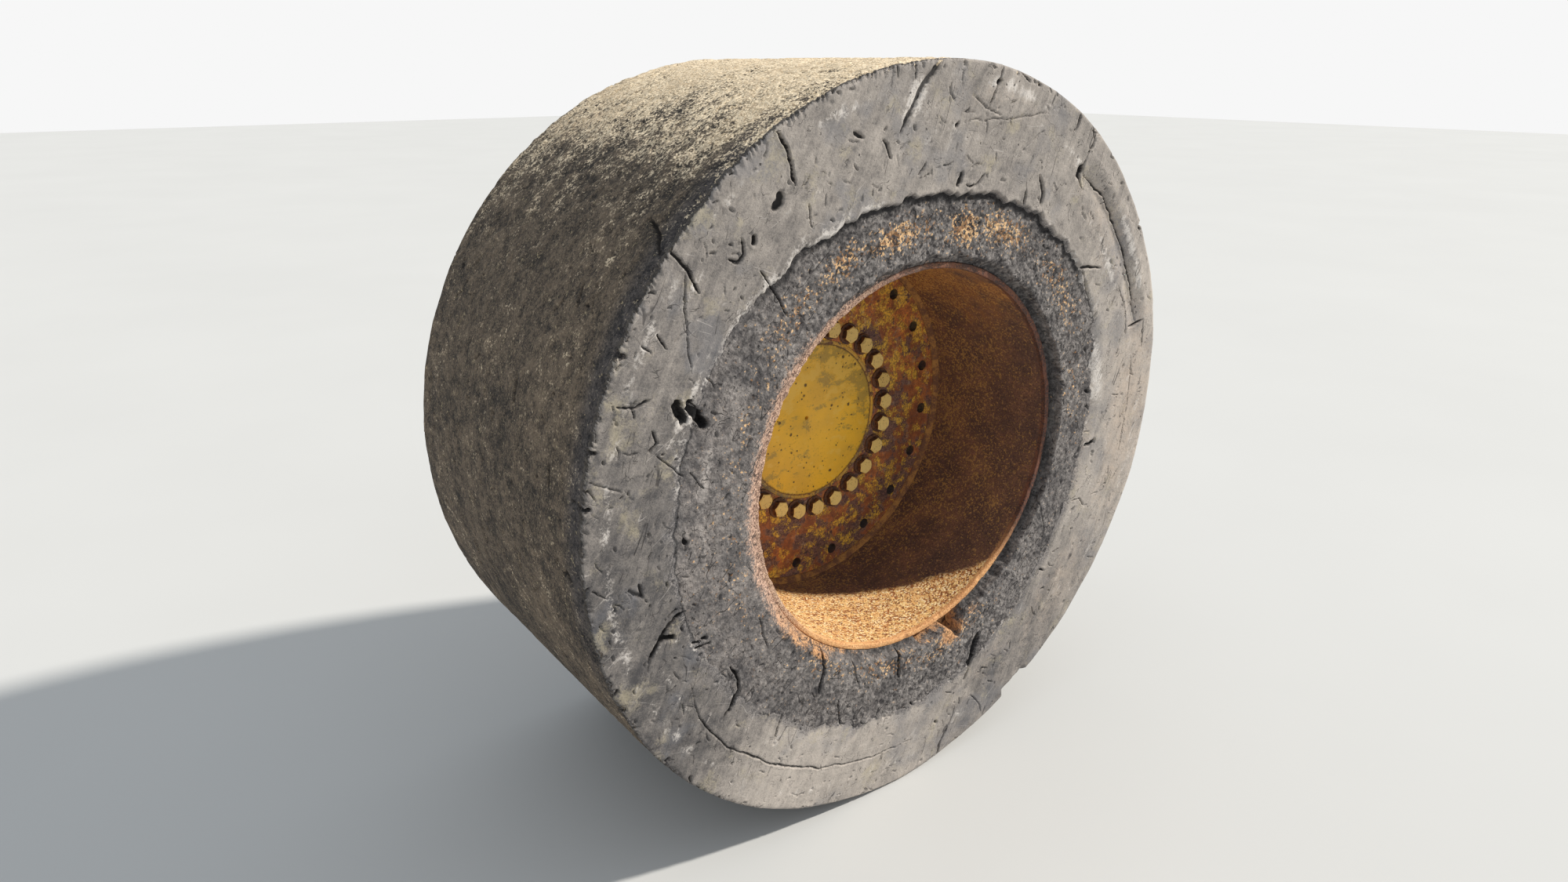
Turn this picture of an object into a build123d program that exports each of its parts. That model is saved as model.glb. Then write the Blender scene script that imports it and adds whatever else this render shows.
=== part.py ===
from build123d import *
import math
import os

# Wheel end of a wheel loader: a smooth solid rubber tyre on a steel band, a wheel disc set
# deep in the band, the final-drive hub that it is bolted to, and the spindle, brake housing
# and half shaft that carry and drive it.
# The wheel turns about the Y axis. -Y is outboard, +Y is inboard, towards the machine, and
# +Z is up. The origin is the centre of the brake housing's mount face. Sizes in millimetres.
# Angles on the wheel run from +X towards +Z, as seen from outboard.

# Tyre
tyre_radius = 800.0
tyre_width = 770.0
shoulder_bevel = 11.0
band_setback = 25.0
heel_width = 18.0
worn_band_radius = 580.0
worn_band_step = 14.0
worn_band_depth = 9.0

# Damage on the tyre's outboard side
fold_groove_rim_distance = 82.0
fold_groove_width = 30.0
fold_groove_depth = 8.0
fold_groove_start = 18.0
fold_groove_sweep = 33.0
bite_start = -86.0
bite_sweep = 20.0
bite_height = 22.0
bite_depth = 50.0
chunk_angle = -60.5
chunk_height = 42.0
chunk_width = 92.0
chunk_depth = 34.0

# Steel band and disc
band_radius = 426.0
band_wall = 14.0
disc_setback = 374.0
disc_thickness = 32.0
weld_leg = 9.0
light_hole_count = 20
light_hole_radius = 13.0
light_hole_inset = 45.0
light_hole_start = 12.0

# Wheel bolts, whose heads alone show
wheel_bolt_count = 24
wheel_bolt_circle = 222.0
wheel_bolt_start = 3.0
wheel_bolt_flats = 36.0
wheel_bolt_height = 19.5

# Final-drive hub
spigot_radius = 195.0
cover_radius = 187.0
cover_thickness = 14.0
cover_hole_radius = 5.0
cover_hole_depth = 9.0
cover_hole_x = -17.0
cover_hole_z = 11.0
hub_rim_edge = 36.0
planet_drum_length = 99.0
joint_flange_thickness = 22.0
hub_bolt_count = 16
hub_bolt_circle = 246.0
hub_bolt_edge = 16.0
hub_bolt_flats = 24.0
hub_bolt_height = 10.0
bearing_hub_radius = 204.0
bearing_hub_length = 106.0

# Spindle and brake housing
wheel_offset = 432.0
journal_radius = 95.0
spindle_flange_radius = 232.0
spindle_flange_thickness = 24.0
brake_bore_radius = 60.0
mount_hole_count = 8
mount_hole_radius = 13.5
mount_hole_circle = 185.0
mount_hole_depth = 40.0
port_setback = 25.0
port_boss_radius = 18.0
port_boss_height = 16.0
port_radius = 7.0
port_depth = 18.0

# Half shaft
shaft_radius = 30.0
shaft_tip_gap = 5.0
spline_teeth = 22
spline_tooth_height = 3.2
spline_length = 58.0
shaft_reach = 72.0

# Clearances
face_gap = 8.0
body_gap = 6.0
running_fit = 0.05
spigot_fit = 0.3
press_fit = 0.05

# Stations along Y, from outboard to inboard
outer_face = -wheel_offset - tyre_width / 2
inner_face = outer_face + tyre_width
disc_face = outer_face + disc_setback
disc_back = disc_face + disc_thickness
hub_joint = disc_back + planet_drum_length
joint_flange_back = hub_joint + joint_flange_thickness
hub_end = hub_joint + bearing_hub_length
spindle_face = hub_end + face_gap
spindle_back = spindle_face + spindle_flange_thickness
spindle_tip = hub_joint + body_gap
shaft_tip = spindle_tip + shaft_tip_gap
cover_back = disc_face + cover_thickness

# Radii worked out from the ones above
band_inner_radius = band_radius - band_wall
light_hole_circle = band_inner_radius - light_hole_inset
planet_drum_radius = wheel_bolt_circle + hub_rim_edge
joint_radius = hub_bolt_circle + hub_bolt_edge


def turned(*points):
    """A solid of revolution about the wheel axis, from (radius, station) points."""
    return revolve(make_face(Polyline(*points, close=True)), axis=Axis.Y)


def facing_out(shape, station):
    """Stand a shape made on the XY plane at a station, its +Z pointing outboard."""
    return Pos(0, station, 0) * Rot(90, 0, 0) * shape


def at_angle(shape, angle):
    """Turn a shape made at angle 0 to its angle on the wheel."""
    return Rot(0, -angle, 0) * shape


def hole_circle(radius, circle, count, start, front, back):
    """The drills for a circle of round holes that run from front to back."""
    discs = Sketch() + PolarLocations(circle, count, start) * Circle(radius)
    return facing_out(extrude(discs, back - front), back)


def hex_heads(flats, height, circle, count, start):
    """A circle of hex bolt heads that stand on the XY plane, as separate solids."""
    head = extrude(RegularPolygon(flats / 2, 6, major_radius=False), height)
    return Part() + [place * head for place in PolarLocations(circle, count, start)]


def arc_cut(start, sweep, *points):
    """A tool of constant section, from (radius, station) points, along part of a turn."""
    section = make_face(Polyline(*points, close=True))
    return at_angle(revolve(section, axis=Axis.Y, revolution_arc=sweep), start + sweep)


def tyre():
    """The solid tyre: sharp outboard shoulder, worn inner band, and its three large cuts."""
    body = turned(
        (band_radius, outer_face + band_setback),
        (band_radius + heel_width, outer_face + worn_band_depth),
        (worn_band_radius, outer_face + worn_band_depth),
        (worn_band_radius + worn_band_step, outer_face),
        (tyre_radius - shoulder_bevel, outer_face),
        (tyre_radius, outer_face + shoulder_bevel),
        (tyre_radius, inner_face - shoulder_bevel),
        (tyre_radius - shoulder_bevel, inner_face),
        (band_radius + heel_width, inner_face),
        (band_radius, inner_face - band_setback))
    return body - [fold_groove(), bite(), shoulder_chunk()]


def fold_groove():
    """The broad groove that runs a short way round below the outboard shoulder."""
    middle = tyre_radius - fold_groove_rim_distance
    half = fold_groove_width / 2
    return arc_cut(
        fold_groove_start, fold_groove_sweep,
        (middle - half, outer_face - 1), (middle + half, outer_face - 1),
        (middle - half * 0.5, outer_face + fold_groove_depth))


def bite():
    """The missing piece of rubber that bares the steel band near the bottom."""
    return arc_cut(
        bite_start, bite_sweep,
        (band_radius - 1, outer_face - 1), (band_radius + bite_height, outer_face - 1),
        (band_radius - 1, outer_face + bite_depth))


def shoulder_chunk():
    """The chunk torn out of the outboard shoulder."""
    floor_radius = tyre_radius - chunk_height
    outline = Polyline(
        (floor_radius, outer_face), (tyre_radius + 1, outer_face - 1),
        (tyre_radius + 1, outer_face + chunk_depth), (floor_radius, outer_face - 1),
        close=True)
    return at_angle(extrude(make_face(outline), chunk_width / 2, both=True), chunk_angle)


def rim_band():
    """The steel band inside the rubber."""
    front = outer_face + band_setback
    back = inner_face - band_setback
    return turned((band_inner_radius, front), (band_radius, front), (band_radius, back),
                  (band_inner_radius, back))


def wheel_disc():
    """The flat disc with its circle of empty holes and its fillet weld to the band."""
    plate = turned(
        (spigot_radius + spigot_fit, disc_face), (band_inner_radius - weld_leg, disc_face),
        (band_inner_radius, disc_face - weld_leg), (band_inner_radius, disc_back),
        (spigot_radius + spigot_fit, disc_back))
    return plate - hole_circle(light_hole_radius, light_hole_circle, light_hole_count,
                               light_hole_start, disc_face, disc_back)


def wheel_bolts():
    """The heads of the bolts that hold the disc to the hub."""
    return facing_out(hex_heads(wheel_bolt_flats, wheel_bolt_height, wheel_bolt_circle,
                                wheel_bolt_count, wheel_bolt_start), disc_face)


def planet_housing():
    """The hub's outboard half: recess for the cover, spigot, and drum that takes the bolts."""
    seat_radius = cover_radius + press_fit
    return turned(
        (0, cover_back), (seat_radius, cover_back), (seat_radius, disc_face),
        (spigot_radius, disc_face), (spigot_radius, disc_back),
        (planet_drum_radius, disc_back), (planet_drum_radius, hub_joint), (0, hub_joint))


def hub_cover():
    """The flat end cover, with one small blind hole off its centre."""
    cover = facing_out(Cylinder(cover_radius, cover_thickness), disc_face + cover_thickness / 2)
    drill = Cylinder(cover_hole_radius, 2 * cover_hole_depth)
    return cover - Pos(cover_hole_x, 0, cover_hole_z) * facing_out(drill, disc_face)


def bearing_hub():
    """The hub's inboard half: joint flange and bearing seat."""
    bore = journal_radius + running_fit
    return turned(
        (bore, hub_joint), (joint_radius, hub_joint), (joint_radius, joint_flange_back),
        (bearing_hub_radius, joint_flange_back), (bearing_hub_radius, hub_end), (bore, hub_end))


def hub_bolts():
    """The heads of the bolts that hold the two halves of the hub together."""
    heads = hex_heads(hub_bolt_flats, hub_bolt_height, hub_bolt_circle, hub_bolt_count, 0)
    return facing_out(mirror(heads, about=Plane.XY), joint_flange_back)


def spindle():
    """The hollow spindle: its journal in the hub and its flange on the brake housing."""
    bore = shaft_radius + running_fit
    return turned(
        (bore, spindle_tip), (journal_radius, spindle_tip), (journal_radius, spindle_face),
        (spindle_flange_radius, spindle_face), (spindle_flange_radius, spindle_back),
        (bore, spindle_back))


def brake_housing():
    """The wet brake's housing, with its bolt circle, and a boss for the brake pipe."""
    housing = turned(
        (brake_bore_radius, spindle_back), (spindle_flange_radius, spindle_back),
        (spindle_flange_radius, 0), (brake_bore_radius, 0))
    boss_length = spindle_flange_radius - brake_bore_radius + port_boss_height - body_gap
    housing += port_rod(port_boss_radius, boss_length)
    housing -= port_rod(port_radius, port_depth)
    return housing - hole_circle(mount_hole_radius, mount_hole_circle, mount_hole_count, 0,
                                 -mount_hole_depth, 0)


def port_rod(radius, length):
    """A rod down from the top of the brake pipe's boss, as the boss or as its drill."""
    rod = Cylinder(radius, length, align=(Align.CENTER, Align.CENTER, Align.MAX))
    return Pos(0, -port_setback, spindle_flange_radius + port_boss_height) * rod


def spline_outline():
    """The section of the spline: straight-flanked teeth round the shaft."""
    root = shaft_radius - spline_tooth_height
    pitch = 2 * math.pi / spline_teeth
    corners = ((-0.34, root), (-0.18, shaft_radius), (0.18, shaft_radius), (0.34, root))
    points = [
        (radius * math.cos((tooth + share) * pitch), radius * math.sin((tooth + share) * pitch))
        for tooth in range(spline_teeth) for share, radius in corners]
    return make_face(Polyline(*points, close=True))


def half_shaft():
    """The half shaft, plain in the spindle and splined where it leaves the housing."""
    spline_start = shaft_reach - spline_length
    plain = turned(
        (0, shaft_tip), (shaft_radius, shaft_tip), (shaft_radius, spline_start),
        (0, spline_start))
    return plain + facing_out(extrude(spline_outline(), -spline_length), spline_start)


NODES = {
    "tyre": tyre,
    "rim_band": rim_band,
    "wheel_disc": wheel_disc,
    "wheel_bolts": wheel_bolts,
    "planet_housing": planet_housing,
    "hub_cover": hub_cover,
    "bearing_hub": bearing_hub,
    "hub_bolts": hub_bolts,
    "spindle": spindle,
    "brake_housing": brake_housing,
    "half_shaft": half_shaft,
}

os.makedirs("parts", exist_ok=True)
for name, make in NODES.items():
    export_step(make(), f"parts/{name}.step")
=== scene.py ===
import itertools
import math
from collections import namedtuple

import bpy
import numpy as np
from mathutils import Matrix, Vector


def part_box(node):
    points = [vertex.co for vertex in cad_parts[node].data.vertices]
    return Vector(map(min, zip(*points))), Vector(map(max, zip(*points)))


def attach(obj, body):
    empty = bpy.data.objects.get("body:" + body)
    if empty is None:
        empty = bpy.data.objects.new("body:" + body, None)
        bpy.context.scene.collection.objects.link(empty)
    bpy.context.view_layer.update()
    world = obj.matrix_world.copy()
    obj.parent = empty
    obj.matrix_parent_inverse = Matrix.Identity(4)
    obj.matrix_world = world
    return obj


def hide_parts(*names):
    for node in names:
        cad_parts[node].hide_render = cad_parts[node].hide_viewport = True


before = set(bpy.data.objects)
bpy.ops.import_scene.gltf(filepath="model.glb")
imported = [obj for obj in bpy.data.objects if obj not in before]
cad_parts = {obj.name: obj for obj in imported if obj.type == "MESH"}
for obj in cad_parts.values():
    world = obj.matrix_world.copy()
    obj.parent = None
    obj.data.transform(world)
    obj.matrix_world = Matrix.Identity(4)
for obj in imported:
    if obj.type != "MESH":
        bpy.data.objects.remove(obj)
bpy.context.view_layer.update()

# The wheel turns about Y: -Y is outboard, +Y inboard, +Z up. Angles on the wheel run from +X
# towards +Z, as seen from outboard. Relief and cuts are worked out in millimetres on the
# tyre's own surfaces, and turned into metres when their mesh is made.
MM = 0.001

# ---- Sizes read from the frame, in millimetres ----
low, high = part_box("tyre")
TYRE_RADIUS = high.x / MM
OUTER_FACE = low.y / MM
TYRE_WIDTH = high.y / MM - OUTER_FACE
low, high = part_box("rim_band")
BAND_RADIUS = high.x / MM
BAND_SETBACK = low.y / MM - OUTER_FACE
BAND_END = high.y / MM
low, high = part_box("wheel_bolts")
DISC_FACE = high.y / MM
BOLT_STANDS = DISC_FACE - low.y / MM
low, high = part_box("hub_bolts")
HUB_BOLT_SEAT = low.y / MM
HUB_BOLT_HEIGHT = high.y / MM - HUB_BOLT_SEAT
low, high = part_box("spindle")
SPINDLE_FLANGE_RADIUS = high.x / MM

BAND_WALL = 14.0
LIP_ROUNDING = 2.6
WELD_LEG = 9.0
WHEEL_BOLTS = 24
WHEEL_BOLT_CIRCLE = 222.0
WHEEL_BOLT_START = 3.0
WHEEL_BOLT_FLATS = 36.0
WASHER_RADIUS = 25.5
WASHER_THICKNESS = 4.5
HUB_BOLTS = 16
HUB_BOLT_CIRCLE = 246.0
HUB_BOLT_START = 0.0
HUB_BOLT_FLATS = 24.0
HUB_WASHER_RADIUS = 15.5
HUB_WASHER_THICKNESS = 2.5
# Hex plugs on the brake housing: width across flats, height, angle and station
PLUGS = {
    "drain_plug": (27.0, 12.0, -90.0, -96.0),
    "level_plug": (22.0, 10.0, 0.0, -96.0),
    "bleed_plug": (14.0, 15.0, 74.0, -40.0),
}


# ---- Numbers over a surface ----
LATTICE = np.random.default_rng(11).uniform(-1.0, 1.0, (64, 64, 64))


def lumps(points, size, shift=0.0):
    """Smooth noise from -1 to 1 at points in millimetres, with lumps about that size."""
    place = points / size + shift
    cell = np.floor(place).astype(int)
    inside = place - cell
    inside = inside * inside * (3.0 - 2.0 * inside)
    total = np.zeros(len(points))
    for corner in itertools.product((0, 1), repeat=3):
        weight = np.prod(np.where(corner, inside, 1.0 - inside), axis=1)
        index = (cell + corner) & 63
        total += weight * LATTICE[index[:, 0], index[:, 1], index[:, 2]]
    return total


def rise(value, start, end):
    """0 before start, 1 after end, smooth between; start may be the larger."""
    share = np.clip((value - start) / (end - start), 0.0, 1.0)
    return share * share * (3.0 - 2.0 * share)


def around_table(angle, table):
    """A value that goes round the wheel through the (angle, value) pairs of a table."""
    angles, values = zip(*table)
    return np.interp(angle, angles, values, period=360.0)


def turn_gap(angle, middle):
    """The signed angle from middle, from -180 to 180."""
    return (angle - middle + 180.0) % 360.0 - 180.0


# ---- Cuts in the rubber ----
# A cut is a stroke on a surface laid flat, in millimetres. A row of a table gives its width,
# its depth, and the points of its path: on the outboard side angle and share of the radius.
Cut = namedtuple("Cut", "width depth path")

FACE_CUTS = (
    # Upper left
    (9, 16, 120.4, .996, 120.2, .95, 121.2, .874), (25, 11, 124.2, .880, 125.2, .870),
    (4, 6, 120.4, .823, 121.0, .795, 121.6, .768),
    (8, 8, 132.3, .880, 133.4, .850, 134.8, .846, 135.7, .872),
    (12, 14, 130.7, .856, 131.1, .848), (5, 8, 133.2, .800, 133.3, .740, 134.4, .654),
    (8, 10, 139.8, 1.003, 140.4, .947, 141.7, .885),
    (4, 5, 140.4, .947, 144.6, .900, 149.0, .848, 151.7, .817), (5, 8, 149.0, .933, 150.2, .899),
    (4, 6, 151.2, .956, 151.4, .926), (5, 6, 159.2, .964, 158.9, .925, 157.1, .891),
    (22, 30, 157.2, .824, 158.8, .794), (26, 28, 156.8, .788, 158.0, .760, 158.9, .734),
    (4, 6, 158.8, .926, 160.2, .912), (7, 6, 161.4, .867, 162.9, .846, 164.6, .862),
    # Top
    (15, 6, 92.0, .994, 95.4, .948, 100.5, .858), (6, 9, 98.6, .890, 100.6, .856),
    (4, 7, 96.9, .994, 97.1, .959), (5, 7, 100.0, .999, 100.1, .972),
    (3, 4, 90.2, .950, 90.3, .900), (5, 8, 80.1, .999, 80.3, .975, 80.6, .959, 81.7, .900),
    (13, 12, 80.4, .962, 80.8, .955), (5, 7, 76.9, 1.002, 75.2, .991, 73.9, .980),
    (4, 4, 85.6, .920, 81.8, .896, 78.2, .885), (3.5, 4, 87.0, .862, 78.0, .880, 67.8, .944),
    (11, 8, 88.0, .856, 88.4, .852), (13, 9, 85.9, .742, 86.7, .720),
    (7, 7, 84.4, .723, 83.2, .717, 81.4, .722, 79.5, .7475),
    (4.5, 7, 95.2, .778, 96.2, .764, 97.2, .751), (9, 7, 109.1, .895, 107.5, .873),
    (5, 5, 110.6, .834, 109.8, .818), (8, 7, 104.2, .856, 103.4, .842, 102.8, .806),
    (9, 8, 66.7, .742, 66.1, .718), (10, 7, 64.8, .800, 62.0, .770, 61.0, .736),
    # Upper right
    (6, 9, 57.8, 1.002, 55.6, .970, 55.0, .921), (22, 18, 55.3, .888, 55.1, .876),
    (7, 9, 55.0, .921, 55.2, .882, 53.7, .862, 52.2, .853), (8, 9, 61.0, .992, 60.7, .944),
    (7, 8, 54.0, .884, 46.0, .902, 35.0, .901, 26.0, .899, 17.6, .896),
    (9, 9, 17.6, .862, 17.0, .896, 17.2, .932), (4, 6, 17.0, .930, 14.0, .926, 11.0, .922),
    (5, 5, 40.0, .730, 33.0, .722, 25.0, .718), (8, 7, 40.0, .7215, 37.6, .752, 34.7, .795),
    (18, 12, 34.4, 1.004, 34.4, .984), (3.5, 5, 28.0, .84, 22.0, .86, 16.0, .845),
    # Right
    (15, 8, 7.1, .678, 7.5, .671), (14, 12, -6.2, .736, -7.3, .698),
    (6, 6, -22.0, .710, -20.8, .744, -22.1, .776),
    (3.5, 4, -23.4, .545, -27.6, .592, -31.6, .643), (3.5, 4, 11.0, .874, .0, .876, -10.0, .874),
    (9, 7, -39.9, .730, -40.6, .718), (8, 6, -43.4, .782, -44.0, .776),
    (5, 6, -33.6, .750, -35.2, .728), (4, 5, -48.6, .784, -49.2, .830),
    # Bottom right
    (24, 14, -64.4, .662, -68.6, .718, -70.6, .752), (9, 7, -70.6, .752, -72.6, .780),
    (6, 6, -65.4, .812, -66.7, .794, -68.2, .808), (4, 5, -76.0, .850, -78.5, .909),
    (8, 9, -78.5, .909, -80.9, .953, -81.8, .996), (4, 5, -71.5, .854, -69.8, .917, -69.8, .960),
    (9, 7, -88.3, .748, -88.7, .741), (8, 6, -81.4, .862, -81.8, .856),
    # Bottom left
    (10, 11, 233.4, .5445, 237.0, .588, 239.5, .665),
    (4, 6, 246.2, .549, 249.0, .585, 252.1, .6235), (6, 8, 246.3, .670, 248.3, .710, 250.3, .748),
    (11, 14, 265.2, .545, 265.6, .590, 266.3, .630),
    (5, 6, 206.7, .826, 210.9, .851, 216.2, .8675, 224.0, .873, 236.0, .871, 248.0, .873, 260.0,
     .872, 272.0, .870),
    (10, 12, 211.3, .7246, 214.8, .730, 216.8, .7476, 217.9, .785, 218.3, .8276),
    (5, 5, 206.5, .596, 211.1, .612, 215.7, .6195),
    (5, 8, 231.4, .7335, 232.1, .772, 232.8, .808),
    # Left
    (11, 15, 197.7, .895, 195.2, .845, 193.8, .803, 193.3, .7655),
    (6, 8, 192.8, .8155, 192.2, .783), (16, 16, 195.6, .848, 196.6, .818),
    (9, 12, 200.4, .775, 200.9, .760), (9, 12, 201.7, .772, 202.2, .757),
    (7, 9, 200.7, .748, 201.2, .738), (7, 9, 202.4, .748, 202.9, .736),
    (13, 12, 180.2, .746, 180.6, .739), (12, 5, 185.0, .890, 186.4, .872),
    (9, 6, 184.2, .868, 187.0, .866), (4, 5, 164.8, .845, 166.4, .800, 168.4, .755),
    (4, 5, 167.5, .743, 169.0, .720, 170.9, .699),
    (3.5, 4, 168.3, .999, 169.2, .955, 170.1, .910), (4, 5, 183.0, .984, 184.8, .950),
    # Nicks in the shoulder's edge
    (15, 8, 153.2, 1.010, 153.2, .988), (11, 8, 165.0, 1.010, 165.0, .985),
    (12, 8, 172.0, 1.010, 172.2, .982), (10, 7, 199.0, 1.010, 198.8, .985),
    (9, 7, 202.0, 1.010, 202.2, .988),
)


def on_flat(angle, radius):
    """Points (x, z) of the outboard side laid flat, in millimetres."""
    turn = np.radians(angle)
    return np.stack([radius * np.cos(turn), radius * np.sin(turn)], axis=-1)


def lifted(flat, height=0.0):
    """Points laid flat, with a height as their third coordinate, for noise."""
    return np.column_stack([flat, np.full(len(flat), height)])


def laid_cuts(table, flat):
    """A table's cuts, their paths laid flat in millimetres by a function of their points."""
    return [Cut(width, depth, flat(*np.array(path, float).reshape(-1, 2).T))
            for width, depth, *path in table]


def carve(flat, cuts):
    """How deep the cuts go at points laid flat, and how high their lips stand, in millimetres."""
    uneven = lumps(lifted(flat), 8.0, 2.6)
    depth = np.zeros(len(flat))
    lip = np.zeros(len(flat))
    order = np.argsort(flat[:, 0], kind="stable")
    across = flat[order, 0]
    for cut in cuts:
        reach = cut.width * 1.6 + 1.0
        start, end = np.searchsorted(across, (cut.path[:, 0].min() - reach,
                                              cut.path[:, 0].max() + reach))
        near = order[start:end]
        up = flat[near, 1]
        near = near[(up > cut.path[:, 1].min() - reach) & (up < cut.path[:, 1].max() + reach)]
        if not len(near):
            continue
        here = flat[near]
        runs = np.linalg.norm(np.diff(cut.path, axis=0), axis=1)
        along = np.concatenate([[0.0], np.cumsum(runs)])
        best = np.full(len(near), 1e9)
        share, side = np.zeros(len(near)), np.zeros(len(near))
        for (a, b), run, begun in zip(zip(cut.path[:-1], cut.path[1:]), runs, along):
            t = np.clip((here - a) @ (b - a) / max(run * run, 1e-9), 0.0, 1.0)
            gap = np.linalg.norm(here - a - t[:, None] * (b - a), axis=1)
            turned = (b - a)[0] * (here - a)[:, 1] - (b - a)[1] * (here - a)[:, 0]
            closer = gap < best
            best = np.where(closer, gap, best)
            share = np.where(closer, (begun + t * run) / along[-1], share)
            side = np.where(closer, np.sign(turned), side)
        slender = along[-1] > 2.5 * cut.width
        taper = np.clip(np.minimum(share, 1 - share) * 5 + 0.35, 0, 1) if slender else 1.0
        half = cut.width / 2 * taper * (1.0 + 0.4 * uneven[near])
        steep = np.where(side > 0, 0.55, 0.05)
        cut_in = cut.depth * taper * (1 - rise(best, half * steep, half))
        depth[near] = np.maximum(depth[near], cut_in)
        raised = np.exp(-((best - half * 1.4) / (half * 0.6 + 0.6)) ** 2) * (1.2 - 0.8 * side)
        lip[near] = np.maximum(lip[near], raised * min(0.6, cut.depth * 0.055))
    return depth, lip


rng = np.random.default_rng(5)


def scattered_cuts(*rows):
    """Small cuts at random places.

    A row gives how many there are, a function for their places, the ranges of their lengths,
    widths and depths, and a function for the direction that they lean about at a place.
    """
    cuts = []
    for count, places, lengths, widths, depths, direction in rows:
        for place in places(count):
            turn = direction(place) + rng.normal(0.0, 0.9)
            half = rng.uniform(*lengths) / 2 * np.array([math.cos(turn), math.sin(turn)])
            bow = rng.uniform(-0.25, 0.25) * np.array([-half[1], half[0]])
            cuts.append(Cut(rng.uniform(*widths), rng.uniform(*depths),
                            np.array([place - half, place + bow, place + half])))
    return cuts


def ring_places(inner, outer):
    """A function for random places on a side laid flat, between two radii."""
    def places(count):
        """So many random places between the two radii."""
        radius = np.sqrt(rng.uniform(inner ** 2, outer ** 2, count))
        return on_flat(rng.uniform(0.0, 360.0, count), radius)
    return places


def outward(place):
    """The direction away from the axle at a place of a side laid flat."""
    return math.atan2(place[1], place[0])


def along_turn(place):
    """The direction round the wheel at a place of a side laid flat."""
    return outward(place) + math.pi / 2


face_cuts = laid_cuts(FACE_CUTS, lambda angle, share: on_flat(angle, share * TYRE_RADIUS))
face_cuts += scattered_cuts(
    (230, ring_places(600, 796), (7, 34), (2.6, 4.2), (1.5, 5), along_turn),
    (190, ring_places(590, 796), (2, 6), (3.5, 8), (1.5, 5), along_turn),
    (90, ring_places(450, 600), (4, 22), (4, 8), (2, 5), along_turn),
    (90, ring_places(788, 803), (3, 12), (4, 9), (2, 6), outward))

# ---- The outboard side's form, round the wheel: (angle, value) ----
# The edge of the worn inner band, as a share of the tyre's radius
WORN_EDGE = ((0, .668), (15, .69), (25, .712), (40, .718), (50, .716), (65, .704), (80, .698),
             (92, .70), (105, .705), (115, .72), (125, .735), (140, .753), (150, .760),
             (170, .757), (195, .768), (210, .752), (225, .744), (245, .742), (270, .742),
             (290, .733), (305, .715), (325, .69), (345, .672))
# How pale the scraped face is, and how white the scuffs along its torn edge are: 0 to 1
FACE_TONE = ((0, .78), (22, .74), (42, .58), (70, .55), (95, .55), (115, .48), (140, .42),
             (170, .26), (200, .12), (220, .20), (238, .78), (270, .68), (295, .36), (320, .46),
             (340, .66))
SCUFFED = ((0, .45), (40, .55), (62, .25), (98, .30), (118, .75), (135, .70), (165, .40),
           (200, .30), (240, .25), (270, .30), (300, .35))
# How far the worn band lies behind the outer plane at its torn edge, in millimetres
STEP_DEPTH = ((0, 6), (25, 7), (45, 10), (70, 12), (95, 12), (120, 10), (150, 8), (180, 7),
              (210, 7), (240, 6), (270, 6), (300, 6), (330, 6))
# Over what width the face slopes down to that depth, in millimetres: a cliff or a soft slope
TORN_SLOPE = ((0, 24), (25, 13), (42, 6), (60, 3), (112, 3), (135, 8), (160, 38), (222, 42),
              (245, 26), (290, 26), (320, 32))
# How crumbly the worn band is
CRUMBLE = ((0, .75), (30, .95), (60, 1.1), (90, 1.15), (125, 1.05), (150, .75), (180, .55),
           (210, .6), (240, .85), (270, 1.0), (300, 1.05), (330, .85))
# How far the rubber's inner edge lies behind the band's lip, in millimetres
HEEL_GAP = ((0, 12), (30, 12), (60, 4), (100, 0), (140, -2), (180, -4), (210, -2), (250, 0),
            (290, 4), (320, 10))
# Where the rubber starts to fall away to the band's lip, in millimetres, and over what width
HEEL_EDGE = ((0, 446), (25, 444), (50, 446), (90, 442), (130, 446), (160, 456), (190, 458),
             (215, 452), (245, 446), (270, 444), (300, 446), (330, 446))
HEEL_SLOPE = ((0, 8), (30, 9), (60, 16), (100, 18), (130, 20), (160, 28), (195, 30), (220, 24),
              (250, 18), (280, 14), (310, 10), (340, 8))
# How round the shoulder is, in millimetres
SHOULDER = ((0, 26), (25, 20), (50, 12), (75, 9), (100, 8), (150, 7), (200, 7), (240, 9),
            (270, 14), (300, 30), (330, 34))

FOLD = dict(start=18.0, end=53.0, share=0.885, half_width=20.0, depth=8.0)
BITE = dict(start=-86.5, end=-65.5, share=0.560, tongue_angle=-71.0, tongue_share=0.612,
            depth=62.0)
CHUNK = dict(angle=-60.5, half_angle=3.6, share=0.945, depth=36.0)
VALLEY = dict(start=-62.0, end=-33.0, share=0.876, half_width=24.0, depth=5.0)
# Where the left shoulder is frayed to threads: from, to, and over how many degrees it ends
FRAYED_ARC = (92.0, 236.0, 10.0)


def span(angle, start, end, soft):
    """1 between two angles, falling to 0 over soft degrees at each end."""
    middle, half = (start + end) / 2, (end - start) / 2
    return 1.0 - rise(np.abs(turn_gap(angle, middle)), half - soft, half + soft)


def bite_edge(angle, wobble):
    """The radius out to which the rubber is missing in the bite, or 0 elsewhere."""
    edge = BITE["share"] + (BITE["tongue_share"] - BITE["share"]) * np.exp(
        -(turn_gap(angle, BITE["tongue_angle"]) / 2.2) ** 2)
    inside = span(angle, BITE["start"], BITE["end"], 1.2)
    return np.where(inside > 0.02, (edge * TYRE_RADIUS - 400.0 + wobble) * inside + 400.0, 0.0)


def trough(angle, reach, shape, soft):
    """Where a shallow trough runs, 0 to 1, and how far across it a point lies, in half widths."""
    across = (reach / TYRE_RADIUS - shape["share"]) * TYRE_RADIUS / shape["half_width"]
    return span(angle, shape["start"], shape["end"], soft), across


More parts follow.
